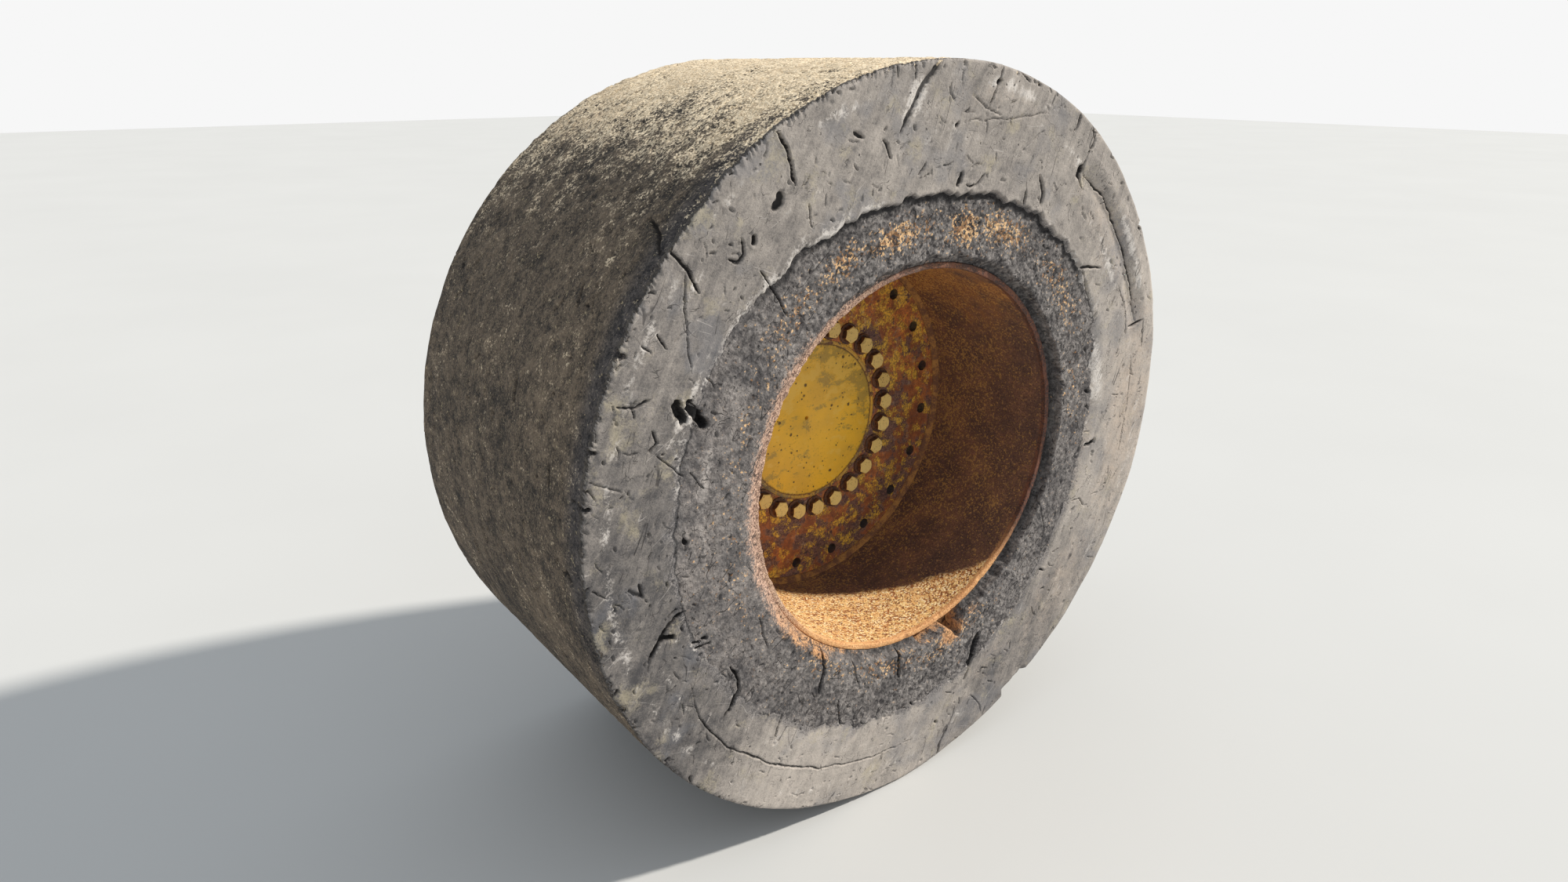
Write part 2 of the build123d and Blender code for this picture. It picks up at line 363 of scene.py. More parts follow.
def cliff(slope):
    """How cliff-like the torn edge is, 0 to 1, from the width that its slope takes."""
    return rise(slope, 16.0, 5.0)


def worn_edge(angle):
    """The radius at which the worn inner band ends in a torn edge, in millimetres."""
    place = lifted(on_flat(angle, 600.0))
    torn = 8.0 * lumps(place, 48.0, 3.0) + 5.0 * lumps(place, 18.0, 8.0) \
        + 2.6 * lumps(place, 7.0, 1.0)
    return around_table(angle, WORN_EDGE) * TYRE_RADIUS + torn


def cuts_at(angle, reach):
    """Depth and lips of the cuts on the outboard side, their lines made uneven."""
    flat = on_flat(angle, reach)
    place = lifted(flat)
    warp = np.column_stack([lumps(place, 24.0, 1.7), lumps(place, 24.0, 5.1)])
    shiver = np.column_stack([lumps(place, 7.0, 3.7), lumps(place, 7.0, 9.1)])
    return carve(flat + 2.8 * warp + 1.1 * shiver, face_cuts)


def side_place(angle, reach, station=40.0):
    """Points of a side laid flat at a station of its own, for its noise."""
    flat = on_flat(angle, reach)
    return np.column_stack([flat[:, 0], np.full(len(flat), station), flat[:, 1]])


def face_waves(angle, reach):
    """The scraped face's unevenness, about -1 to 1: broad, middling and drawn-out parts."""
    place = side_place(angle, reach)
    drawn_out = np.column_stack([reach * 9.0, *on_flat(angle, TYRE_RADIUS).T])
    return (0.7 * lumps(place, 150.0) + 0.5 * lumps(place, 60.0, 2.2),
            0.6 * lumps(place, 26.0, 4.4) + 0.35 * lumps(place, 11.0) + 0.2 * lumps(place, 5.5),
            lumps(drawn_out, 70.0, 6.0))


def fray(angle, reach):
    """The comb of torn threads along the left shoulder: 1 in a gap between two, 0 on one."""
    slanted = angle * 14.0 + 0.35 * (reach - TYRE_RADIUS)
    place = np.column_stack([slanted, reach * 0.1, 0 * angle])
    comb = lumps(place, 4.4, 4.0) + 0.6 * lumps(place, 13.0, 7.0)
    length = 7.0 + 6.0 * lumps(np.column_stack([angle * 14.0, 0 * angle, 0 * angle]), 22.0, 1.0)
    at_edge = rise(reach, TYRE_RADIUS - 8.0 - length, TYRE_RADIUS - 4.0)
    return span(angle, *FRAYED_ARC) * at_edge * rise(comb, 0.0, 0.45)


def face_relief(angle, reach):
    """How far the scraped face lies behind the outer plane, in millimetres."""
    broad, middling, streaks = face_waves(angle, reach)
    relief = 2.4 + 2.2 * broad + 0.45 * middling + 0.30 * streaks
    past = reach - worn_edge(angle)
    slope = around_table(angle, TORN_SLOPE)
    relief -= cliff(slope) * 1.6 * np.exp(-((past - 8.0) / 7.0) ** 2) * (0.6 + middling)
    fall = np.exp(-(np.maximum(past, 0) / slope) ** 2)
    relief += (around_table(angle, STEP_DEPTH) - 2.4) * fall
    fold, across = trough(angle, reach, FOLD, 5.0)
    relief += fold * FOLD["depth"] * np.exp(-across ** 2)
    relief -= fold * 3.0 * np.exp(-(across - 2.1) ** 2 / 0.7)
    valley, across = trough(angle, reach, VALLEY, 7.0)
    relief += valley * VALLEY["depth"] * np.exp(-across ** 2)
    relief += 3.0 * fray(angle, reach)
    depth, lip = cuts_at(angle, reach)
    return relief + depth - lip


def crumbs(angle, reach):
    """The worn band's crumbly surface, from about -1, in a crease, to 1, on a crumb."""
    place = side_place(angle, reach)
    coarse = np.abs(lumps(place, 22.0, 6.1)) * 2.6 - 0.8
    middling = np.abs(lumps(place, 10.0, 8.3)) * 2.6 - 0.8
    return 0.22 * coarse + 0.38 * middling + 0.5 * lumps(place, 6.5, 1.1) \
        + 0.45 * lumps(place, 4.2, 7.1)


def band_masks(angle, reach):
    """Where the worn band falls to the steel's lip, and where the rubber is gone: 0 to 1."""
    place = side_place(angle, reach)
    ragged = 5.0 * lumps(place, 34.0, 2.0) + 4.0 * lumps(place, 13.0, 3.3)
    heel_edge = around_table(angle, HEEL_EDGE)
    heel_slope = around_table(angle, HEEL_SLOPE)
    heel = 1.0 - rise(reach + ragged, heel_edge - heel_slope, heel_edge + 2.0)
    missing = bite_edge(angle, 5.0 * lumps(place, 18.0, 7.7))
    bite = 1.0 - rise(reach, missing - 5.0, missing + 1.0)
    return heel, bite


def band_relief(angle, reach):
    """How far the worn inner band lies behind the outer plane, in millimetres."""
    place = side_place(angle, reach)
    step = around_table(angle, STEP_DEPTH)
    rough = around_table(angle, CRUMBLE)
    heel, bite = band_masks(angle, reach)
    relief = step + 1.8 * lumps(place, 90.0, 5.0) + 1.2 * lumps(place, 45.0, 1.0)
    relief -= 1.9 * rough * crumbs(angle, reach)
    gap = around_table(angle, HEEL_GAP)
    relief += heel * (BAND_SETBACK + gap - step)
    depth, lip = cuts_at(angle, reach)
    relief += depth - lip
    floor = BITE["depth"] - 3.0 * crumbs(angle, reach)
    return relief + bite * np.maximum(floor - relief, 0.0)


# ---- The tread's form ----
# Cuts on the tread; a point is its angle and millimetres from the outboard side
TREAD_CUTS = (
    (9, 9, 139.8, -6.0, 140.6, 30.0, 138.2, 62.0, 136.5, 118.0),
    (10, 8, 183.0, 52.0, 181.8, 64.0, 182.6, 80.0), (8, 7, 95.0, 300.0, 91.0, 318.0),
    (6, 6, 118.0, 220.0, 114.0, 236.0, 111.0, 232.0), (7, 6, 150.0, 180.0, 146.5, 196.0),
    (6, 6, 165.0, 300.0, 161.0, 309.0), (6, 5, 172.0, 130.0, 169.0, 137.0),
    (8, 6, 204.0, 210.0, 207.0, 228.0),
)
TURN_LENGTH = 2 * math.pi * TYRE_RADIUS
# The inboard side's moulded edge, rings and line, by their radii
MOULDED_EDGE = (519.0, 515.0)
MOULDED_RINGS = (536.0, 550.0, 564.0, 578.0)
MOULDED_LINE = 0.87 * TYRE_RADIUS


def tread_flat(angle, station):
    """Points of the tread laid flat: millimetres round the wheel, and from outboard in."""
    return np.column_stack([(angle % 360.0) / 360.0 * TURN_LENGTH, station])


def tread_places(count):
    """Random places on the tread laid flat."""
    return rng.uniform((0.0, 0.0), (TURN_LENGTH, TYRE_WIDTH), (count, 2))


def round_tread(place):
    """The direction round the wheel on the tread laid flat."""
    return 0.0


tread_cuts = laid_cuts(TREAD_CUTS, tread_flat)
tread_cuts += scattered_cuts(
    (330, tread_places, (8, 46), (3.5, 6.5), (1.5, 5), round_tread),
    (520, tread_places, (2, 7), (4.5, 11), (1.5, 4.5), round_tread))
back_cuts = scattered_cuts(
    (150, ring_places(540, 790), (6, 44), (3.5, 6.5), (2, 6), along_turn),
    (120, ring_places(460, 790), (2, 6), (5, 10), (2, 6), along_turn))


def back_relief(angle, radius):
    """How far the inboard side lies inside its plane, in millimetres, and its cuts' depth."""
    place = side_place(angle, radius, 900.0)
    depth, lip = carve(on_flat(angle, radius), back_cuts)
    relief = 4.2 + 1.2 * lumps(place, 110.0) + 0.7 * lumps(place, 30.0, 2.0) \
        + 0.5 * lumps(place, 9.0, 6.0)
    relief -= 3.4 * rise(radius, *MOULDED_EDGE)
    relief += 3.4 * np.exp(-((radius - MOULDED_LINE) / 3.6) ** 2)
    for ring in MOULDED_RINGS:
        relief -= 2.2 * np.exp(-((radius - ring) / 2.6) ** 2)
    return np.maximum(relief + depth - lip, 0.0), depth


def crumbly(angle):
    """How rough the tread is round the wheel, and how much dust lies on it: most near the top."""
    return 1.0 - rise(np.abs(turn_gap(angle, 96.0)), 26.0, 78.0)


def tread_relief(angle, station):
    """How far the tread lies inside the tyre's radius, its cuts' depth, and its grain."""
    place = side_place(angle, TYRE_RADIUS, station)
    drawn_out = place / (3.5, 1.0, 3.5)
    rough = 0.35 + 0.65 * crumbly(angle + 14.0 * lumps(place, 90.0))
    depth, lip = carve(tread_flat(angle, station), tread_cuts)
    relief = 1.6 + 1.1 * lumps(place, 190.0) + 0.7 * lumps(place, 70.0, 2.0)
    relief += 0.8 * lumps(drawn_out, 13.0, 3.0)
    coarse, middling = lumps(place, 21.0, 5.0), lumps(place, 10.5, 9.0)
    relief += rough * (1.6 * coarse + 1.5 * middling)
    return np.maximum(relief + depth - lip, 0.0), depth, coarse + middling


# ---- Meshes ----
def angles_of(turns):
    """Even angles for a ring of so many sections, in degrees."""
    return np.arange(turns) * 360.0 / turns


def for_each(angles, grid):
    """The angle of every point of a grid that has one row per angle."""
    return np.broadcast_to(angles[:, None], grid.shape).ravel()


def in_scene(name, data):
    """A new object in the scene."""
    made = bpy.data.objects.new(name, data)
    bpy.context.scene.collection.objects.link(made)
    return made


def ring_mesh(name, angles, radius, station):
    """A closed ring: arrays of radius and station, one row per angle, each row a closed loop.

    The loop goes round its section so that the faces point outwards.
    """
    turns, loop = radius.shape
    turn = np.radians(angles)[:, None]
    points = np.stack([radius * np.cos(turn), OUTER_FACE + station, radius * np.sin(turn)], -1)
    index = np.arange(turns * loop).reshape(turns, loop)
    beside = np.roll(index, -1, axis=0)
    quads = np.stack([index, np.roll(index, -1, axis=1), np.roll(beside, -1, axis=1), beside],
                     axis=-1).reshape(-1, 4)
    return plain_mesh(name, points.reshape(-1, 3) * MM, quads)


def plain_mesh(name, points, quads):
    """A smooth-shaded mesh object from points in metres and four-sided faces."""
    mesh = bpy.data.meshes.new(name)
    mesh.vertices.add(len(points))
    mesh.vertices.foreach_set("co", points.astype(np.float32).ravel())
    mesh.loops.add(quads.size)
    mesh.loops.foreach_set("vertex_index", quads.astype(np.int32).ravel())
    mesh.polygons.add(len(quads))
    mesh.polygons.foreach_set("loop_start", np.arange(0, quads.size, 4, dtype=np.int32))
    mesh.update(calc_edges=True)
    mesh.shade_smooth()
    return in_scene(name, mesh)


def made_plain(piece):
    """Replace a piece's mesh by what its modifiers make of it, and remove them."""
    graph = bpy.context.evaluated_depsgraph_get()
    mesh = bpy.data.meshes.new_from_object(piece.evaluated_get(graph))
    piece.modifiers.clear()
    old = piece.data
    piece.data = mesh
    mesh.name = piece.name
    bpy.data.meshes.remove(old)
    return piece


def thinned(piece, triangles):
    """Collapse a piece's mesh to about that many triangles."""
    now = 2 * len(piece.data.polygons)
    if now > triangles:
        modifier = piece.modifiers.new("thin", "DECIMATE")
        modifier.ratio = triangles / now
        made_plain(piece)
    return piece


def polar(piece):
    """A piece's vertices as angle in degrees, radius and station from the outboard side."""
    points = np.empty(len(piece.data.vertices) * 3, np.float32)
    piece.data.vertices.foreach_get("co", points)
    x, y, z = points.reshape(-1, 3).astype(float).T / MM
    return np.degrees(np.arctan2(z, x)), np.hypot(x, z), y - OUTER_FACE


def keep_values(piece, **values):
    """Store one number per vertex and name, for the piece's material to read."""
    for name, numbers in values.items():
        layer = piece.data.attributes.new(name, "FLOAT", "POINT")
        layer.data.foreach_set("value", np.asarray(numbers, np.float32))


def finished(piece, body, slot, material, *nodes):
    """Give a piece its material and body, and let it stand for CAD nodes. The slot is not used.
    """
    piece.data.materials.clear()
    piece.data.materials.append(material)
    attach(piece, body)
    if nodes:
        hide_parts(*nodes)
    return piece


# ---- Materials ----
class Value:
    """A node's socket. Sums, differences and products of it add Math nodes."""

    def __init__(self, tree, socket):
        self.tree = tree
        self.socket = socket

    def math(self, operation, *others):
        """A Math node of other values, with its operation."""
        return self.tree.node("ShaderNodeMath", {"operation": operation}, dict(enumerate(others)))

    def __add__(self, other):
        return self.math("ADD", self, other)

    __radd__ = __add__

    def __sub__(self, other):
        return self.math("SUBTRACT", self, other)

    def __rsub__(self, other):
        return self.math("SUBTRACT", other, self)

    def __mul__(self, other):
        return self.math("MULTIPLY", self, other)

    def __abs__(self):
        return self.math("ABSOLUTE", self)

    def most(self, other):
        """The larger of this value and another."""
        return self.math("MAXIMUM", self, other)

    def sway(self, amount):
        """How far a noise from 0 to 1 swings about its middle, times an amount."""
        return (self - 0.5) * amount


def screen_colour(red, green, blue):
    """A colour given as a screen shows it, from 0 to 255, for a node."""
    def linear(level):
        """One channel's share of light."""
        level /= 255
        return level / 12.92 if level <= 0.04045 else ((level + 0.055) / 1.055) ** 2.4
    return (linear(red), linear(green), linear(blue), 1.0)


class Tree:
    """A node tree, and the way that nodes are added to it."""

    def __init__(self, tree):
        self.tree = tree

    def node(self, kind, settings=None, sockets=None, output=0):
        """Add a node: its type, its settings, then the values or links of its sockets."""
        node = self.tree.nodes.new(kind)
        for key, setting in (settings or {}).items():
            setattr(node, key, setting)
        for key, given in (sockets or {}).items():
            self.feed(node.inputs[key], given)
        return Value(self, node.outputs[output]) if node.outputs else None

    def feed(self, socket, given):
        """Give a socket a number or colour of its own, or a link."""
        if isinstance(given, Value):
            self.tree.links.new(given.socket, socket)
        else:
            socket.default_value = given


class Finish(Tree):
    """One material, with the few kinds of node that its pattern is made from."""

    def __init__(self, name):
        self.material = bpy.data.materials.new(name)
        self.material.use_nodes = True
        super().__init__(self.material.node_tree)
        self.shader = next(n for n in self.tree.nodes if n.type == "BSDF_PRINCIPLED")
        self.place = self.node("ShaderNodeTexCoord", output="Object")

    def at(self, scale, shift=0.0):
        """Object coordinates scaled along each axis and shifted."""
        return self.node("ShaderNodeMapping", None,
                         {"Vector": self.place, "Scale": scale, "Location": (shift,) * 3})

    def noise(self, size, detail=3.0, rough=0.55, shift=0.0, stretch=(1, 1, 1), twist=0.0):
        """Noise from 0 to 1, with patches about that size in metres."""
        return self.node("ShaderNodeTexNoise", None, {
            "Vector": self.at([1 / size / s for s in stretch], shift), "Scale": 1.0,
            "Detail": detail, "Roughness": rough, "Distortion": twist})

    def cells(self, size, shift=0.0):
        """Distance to the nearest of scattered points about that far apart in metres."""
        return self.node("ShaderNodeTexVoronoi", None, {
            "Vector": self.at((1 / size,) * 3, shift), "Scale": 1.0})

    def stored(self, *names):
        """Numbers that the piece stores on its vertices."""
        return [self.node("ShaderNodeAttribute", {"attribute_name": name}, output="Fac")
                for name in names]

    def step(self, value, start, end):
        """0 below start, 1 above end, smooth between; start may be the larger."""
        return self.node("ShaderNodeMapRange", {"interpolation_type": "SMOOTHSTEP"}, {
            "Value": value, "From Min": min(start, end), "From Max": max(start, end),
            "To Min": 0.0 if start < end else 1.0, "To Max": 1.0 if start < end else 0.0})

    def mix(self, share, first, second):
        """A colour between two, each a value or (red, green, blue) as a screen shows it."""
        first, second = (given if isinstance(given, Value) else screen_colour(*given)
                         for given in (first, second))
        return self.node("ShaderNodeMix", {"data_type": "RGBA"},
                         {0: share, 6: first, 7: second}, output=2)

    def blend(self, value, start, end, first, second):
        """The first of two colours below start, the second above end, smooth between."""
        return self.mix(self.step(value, start, end), first, second)

    def shades(self, size, shift=0.0):
        """A tone from 0 to 1 for each of the crumbs that a surface breaks into."""
        place = self.at((1 / size,) * 3, shift)
        uneven = self.node("ShaderNodeTexNoise", None, {"Vector": place, "Scale": 1.0,
                                                        "Detail": 1.0}, output="Color")
        moved = self.node("ShaderNodeVectorMath", {"operation": "MULTIPLY_ADD"},
                          {0: uneven, 1: (1.0, 1.0, 1.0), 2: place})
        return self.node("ShaderNodeSeparateColor", None, {0: self.node(
            "ShaderNodeTexVoronoi", None, {"Vector": moved, "Scale": 1.0}, output="Color")})

    def strokes(self, turn, length, width, shift=0.0, detail=3.0):
        """Noise drawn out along one direction of the wheel's plane, turned by degrees."""
        place = self.node("ShaderNodeMapping", {"vector_type": "TEXTURE"}, {
            "Vector": self.place, "Rotation": (0, math.radians(-turn), 0),
            "Scale": (length, width, width), "Location": (shift,) * 3})
        return self.node("ShaderNodeTexNoise", None, {
            "Vector": place, "Scale": 1.0, "Detail": detail, "Roughness": 0.62,
            "Distortion": 0.3})

    def dots(self, size, share, shift=0.0, ragged=None):
        """Scattered dots about size apart, each a share of it in radius: 1 inside a dot."""
        near = self.cells(size, shift)
        return self.step(near if ragged is None else near + ragged, share, share * 0.55)

    def lines(self, size, width, shift=0.0):
        """Thin winding lines through noise of that size: 1 on a line."""
        level = self.noise(size, 2, 0.5, shift, twist=0.6)
        return self.step(abs(level - 0.5), width, width * 0.35)

    def axis(self, name):
        """One of the Object coordinates, in metres."""
        return self.node("ShaderNodeSeparateXYZ", None, {0: self.place}, output=name)

    def facing(self, name):
        """How far the surface faces along an axis, from -1 to 1."""
        return self.node("ShaderNodeSeparateXYZ", None, {
            0: self.node("ShaderNodeTexCoord", output="Normal")}, output=name)

    def bumps(self, *layers):
        """Bump nodes one on another, from (height, distance in metres, strength)."""
        normal = None
        for height, distance, strength in layers:
            sockets = {"Height": height, "Distance": distance, "Strength": strength}
            if normal:
                sockets["Normal"] = normal
            normal = self.node("ShaderNodeBump", None, sockets)
        return normal

    def done(self, base, roughness, normal=None, metallic=None, specular=None):
        """Connect the shader and return the material."""
        given = {"Base Color": base, "Roughness": roughness, "Metallic": metallic,
                 "Normal": normal, "Specular IOR Level": specular}
        for key, value in given.items():
            if value is not None:
                self.feed(self.shader.inputs[key], value)
        return self.material


def rubber_face():
    """The outboard face's rubber: scraped grey, with white scuffs and dust in places, pitted,
    with painted shade in its cuts, pits and cracks and on its torn edge, and a painted highlight
    on the cuts' lips.
    """
    f = Finish("worn_rubber_face")
    tone, cavity, pale, torn, dust = f.stored("tone", "cavity", "pale", "torn", "dust")
    worn, frayed, around, reach = f.stored("worn", "frayed", "around", "reach")
    broad, patch = f.noise(0.11, 3, 0.55, 2.0), f.noise(0.035, 4, 0.62, 3.0)
    cloud, blotch = f.noise(0.075, 4, 0.6, 12.0), f.noise(0.014, 4, 0.65, 9.0)
    fine, grain = f.noise(0.0055, 3, 0.7, 7.0), f.noise(0.0026, 2, 0.8, 1.0)
    falling, lying_flat = f.strokes(63, 0.16, 0.016, 1.0), f.strokes(-12, 0.20, 0.020, 5.0)
    level = tone + patch.sway(0.55) + blotch.sway(0.40) + fine.sway(0.45) \
        + grain.sway(0.5) + falling.sway(0.55) + lying_flat.sway(0.40)
    base = f.blend(level, -0.15, 1.15, (70, 68, 69), (188, 178, 168))
    base = f.mix(f.step(broad + patch.sway(0.3), 0.52, 0.68) * 0.40, base, (100, 102, 109))
    base = f.mix(f.step(cloud + fine.sway(0.3), 0.56, 0.74) * 0.55, base, (176, 165, 140))
    rubbed = f.step(worn + patch.sway(1.1) + blotch.sway(0.8), 0.40, 0.80)
    base = f.mix(rubbed * 0.8, base, f.blend(fine + grain.sway(1.2), 0.30, 0.72, (70, 68, 70),
                                             (142, 136, 133)))
    lying = f.step(dust + patch.sway(0.9) + fine.sway(0.9), 0.35, 1.0)
    base = f.mix(lying * 0.5, base, (184, 164, 145))
    # Chalk holds real pale patches and scuffs, and a painted highlight on the cuts' raised lips.
    chalk = f.step(pale + patch.sway(1.1) + blotch.sway(0.9) + fine.sway(1.0)
                   + falling.sway(0.9), 0.46, 0.86)
    base = f.mix(chalk * 0.8, base, (212, 205, 198))
    smudged = f.step(blotch * 0.6 + lying_flat * 0.4 + fine.sway(0.7), 0.55, 0.66)
    base = f.mix(smudged * 0.40, base, (76, 74, 76))
    ragged = fine.sway(0.20)
    pits = f.dots(0.027, 0.10, 3.0, ragged) * f.step(patch, 0.50, 0.55)
    pricks = f.dots(0.0085, 0.14, 8.0, ragged) * f.step(blotch, 0.52, 0.58)
    hairs = f.lines(0.030, 0.010, 4.0) * f.step(f.noise(0.045, 2, shift=14.0), 0.55, 0.60)
    ways = ((72, 3.0), (38, 9.0), (-20, 14.0))
    scratch = [f.step(abs(f.strokes(turn, 0.34, 0.034, shift, 0.0) - 0.5), 0.008, 0.002)
               * f.step(f.noise(0.050, 2, shift=shift + 2.0), 0.55, 0.64) for turn, shift in ways]
    base = f.mix(scratch[2].most(scratch[1]) * 0.4, base, (196, 188, 181))
    # Painted shade in the pits, pricks, hairline cracks and dark scratches, which the bumps also
    # sink.
    marks = (pits * 0.85).most(pricks * 0.6).most(hairs * 0.6).most(scratch[0] * 0.75)
    base = f.mix(marks, base, (50, 47, 47))
    # Painted shade on the cliff wall of the torn edge, where the face steps down to the worn
    # band.
    base = f.mix(torn * 0.65, base, (60, 57, 58))
    comb = f.node("ShaderNodeCombineXYZ", None, {"X": around * (1 / 5.5) + reach * 0.06,
                                                 "Y": reach * (1 / 45.0)})
    threads = f.node("ShaderNodeTexNoise", None, {"Vector": comb, "Scale": 1.0, "Detail": 3.0,
                                                  "Roughness": 0.6})
    off_edge = f.step(reach - (TYRE_RADIUS + 1.0) + threads.sway(44.0), 0.0, 3.0) * frayed
    base = f.mix(off_edge * 0.9, base, f.blend(fine, 0.35, 0.65, (46, 43, 42), (84, 76, 68)))
    # Painted shade in the cuts, darker the deeper they go.
    base = f.mix(f.step(cavity + fine.sway(0.15), 0.08, 0.70) * 0.92, base, (36, 34, 34))
    normal = f.bumps((patch, 0.004, 0.25), (blotch, 0.0025, 0.35), (fine, 0.0016, 0.5),
                     (1.0 - marks.most(off_edge), 0.0020, 0.8), (grain, 0.0006, 0.5))
    return f.done(base, 0.80 + fine.sway(0.3), normal, specular=0.35)


def rubber_band():
    """The worn band's rubber: a dark grain, crumbs and cracks, rust and tan grit lying in it,
    with painted shade in its creases, cuts, cracks and on its heel, and painted sunlight on its
    rust low down.
    """
    f = Finish("worn_rubber_band")
    raised, cavity, smooth, rough = f.stored("raised", "cavity", "smooth", "rough")
    grit, rust, pale, heel = f.stored("grit", "rust", "pale", "heel")
    patch, blotch = f.noise(0.06, 5, 0.62, 3.0), f.noise(0.018, 4, 0.65, 9.0)
    fine, grain = f.noise(0.0065, 4, 0.72, 7.0), f.noise(0.0030, 2, 0.8, 1.0)
    crumb, clod = f.cells(0.0050, 4.0), f.cells(0.014, 11.0)
    each, lump = f.shades(0.0042, 4.0), f.shades(0.010, 8.0)
    # Painted light and shade: the tone is lighter on the crumbs' tops and darker in their creases
    # and in the gaps between crumbs, and the brightest go paler still.
    level = 0.44 + raised.sway(0.38) + patch.sway(0.8) + blotch.sway(0.40) \
        + fine.sway(0.55) + each.sway(rough * 0.25 + 0.04) + lump.sway(0.26) \
        + (0.45 - clod) * 0.30
    base = f.blend(level, 0.05, 0.95, (54, 51, 52), (150, 144, 140))
    base = f.mix(f.step(level + patch.sway(0.6), 0.84, 1.10) * 0.55, base, (190, 182, 174))
    smear = f.blend(patch + blotch.sway(0.5) + grain.sway(0.6), 0.34, 0.68, (94, 91, 91),
                    (152, 143, 137))
    base = f.mix(smooth * 0.55, base, smear)
    chalk = f.step(pale + patch.sway(1.1) + fine.sway(1.1), 0.42, 0.95)
    base = f.mix(chalk * 0.65, base, (186, 178, 172))
    grains = f.step(grit + blotch.sway(0.7) + fine.sway(0.7) + each.sway(1.1), 0.56, 0.68)
    base = f.mix(grains * 0.9, base, f.blend(lump + fine.sway(0.5), 0.30, 0.70, (146, 108, 74),
                                             (222, 182, 134)))
    # Low down the rust turns a lighter orange: a real stain, with painted sunlight where the sun
    # falls on it.
    low = f.step(f.axis("Z"), -0.16, -0.34)
    crust = f.blend(fine + grain.sway(1.0), 0.34, 0.62, (112, 84, 72), (206, 172, 150))
    stain_and_sunlight = f.blend(fine + grain.sway(0.4), 0.34, 0.62, (156, 110, 76), (214, 164, 116))
    rusty = f.step(rust + blotch.sway(0.9) + fine.sway(0.8) + grain.sway(0.8), 0.38, 0.80)
    base = f.mix(rusty * 0.95, base, f.mix(low, crust, stain_and_sunlight))
    hairs = f.lines(0.034, 0.012, 6.0) * f.step(patch, 0.50, 0.56)
    pits = f.dots(0.020, 0.16, 2.0, fine.sway(0.25)) * f.step(blotch, 0.40, 0.46)
    holes = f.dots(0.0085, 0.22, 9.0, grain.sway(0.3)) * f.step(blotch, 0.50, 0.56)
    drawn = f.step(abs(f.strokes(48, 0.14, 0.035, 2.0, 1.0) - 0.5), 0.014, 0.004)
    hairs = hairs.most(drawn * f.step(f.noise(0.05, 2, shift=21.0), 0.50, 0.56))
    # Painted shade in the cuts, at the foot of the torn edge, on the heel's slope down to the
    # lip, and in the cracks, pits and holes.
    shade = f.step(cavity + fine.sway(0.5) + grain.sway(0.5), 0.12, 0.85) * 0.9
    shade = shade.most(heel * (1.0 - rusty) * 0.45).most(hairs * 0.75).most(pits * 0.8) \
        .most(holes * 0.7)
    base = f.mix(shade, base, (36, 34, 35))
    normal = f.bumps((blotch, 0.004, 0.4), (1.0 - clod, 0.005, 0.4), (fine, 0.003, 0.5),
                     (each, 0.0014, 0.6), (1.0 - crumb, 0.0020, 0.5),
                     (1.0 - hairs.most(pits).most(holes), 0.002, 0.7), (grain, 0.0010, 0.6))
    return f.done(base, 0.86 + fine.sway(0.25), normal, specular=0.3)


def rubber_tread():
    """The tread's rubber: brown and rubbed, with dust and straw lying on its top, and painted
    shade in its hollows, cuts and pits.
    """
    f = Finish("worn_rubber_tread")
    cavity, dust, raised, hem = f.stored("cavity", "dust", "raised", "hem")
    broad, patch = f.noise(0.26, 4, 0.6, 2.0), f.noise(0.05, 5, 0.65)
    blotch, fine = f.noise(0.017, 4, 0.68, 8.0), f.noise(0.0072, 4, 0.72, 4.0)
    grain, crumb = f.noise(0.0034, 2, 0.8, 6.0), f.cells(0.0052, 5.0)
    each, lump = f.shades(0.0036, 5.0), f.shades(0.012, 2.0)
    # Painted shade: raised darkens the tread where its grain lies deeper.
    level = 0.50 + raised.sway(0.35) + broad.sway(0.9) + patch.sway(0.6) \
        + blotch.sway(0.5) + fine.sway(0.6) + grain.sway(0.8) + each.sway(0.35)
    base = f.blend(level, 0.05, 0.95, (42, 38, 35), (122, 107, 90))
    base = f.mix(f.step(grain + blotch.sway(0.6), 0.62, 0.72) * 0.6, base, (170, 154, 128))
    base = f.mix(hem * 0.65, base, f.blend(level, 0.1, 0.9, (34, 35, 40), (78, 78, 84)))
    straws = f.lines(0.020, 0.022, 2.0) * f.step(f.noise(0.012, 2, shift=9.0), 0.60, 0.66)
    base = f.mix(straws * 0.7, base, (176, 160, 128))
    lying = f.step(dust + broad.sway(0.8) + patch.sway(1.0) + blotch.sway(0.8) + fine.sway(0.6)
                   + grain.sway(0.7) + each.sway(0.40) + lump.sway(0.20), 0.34, 0.74)
    straw = f.blend(each * 0.5 + fine * 0.5 + patch.sway(0.3), 0.30, 0.70, (200, 178, 145),
                    (246, 227, 196))
    straw = f.mix(f.step(broad + blotch.sway(0.8), 0.50, 0.70) * 0.45, straw, (166, 144, 116))
    base = f.mix(lying * 0.95, base, straw)
    pits = f.dots(0.019, 0.15, 1.0, fine.sway(0.25)) * f.step(blotch, 0.42, 0.48)
    # Painted shade in the cuts, grooves and pits.
    base = f.mix(f.step(cavity, 0.04, 0.6).most(pits * 0.8) * 0.9, base, (38, 34, 32))
    normal = f.bumps((patch, 0.006, 0.35), (blotch, 0.005, 0.45), (fine, 0.003, 0.6),
                     (1.0 - crumb, 0.0026, 0.5), (1.0 - pits, 0.002, 0.6), (grain, 0.0012, 0.6))
    return f.done(base, 0.84 + fine.sway(0.25), normal, specular=0.3)


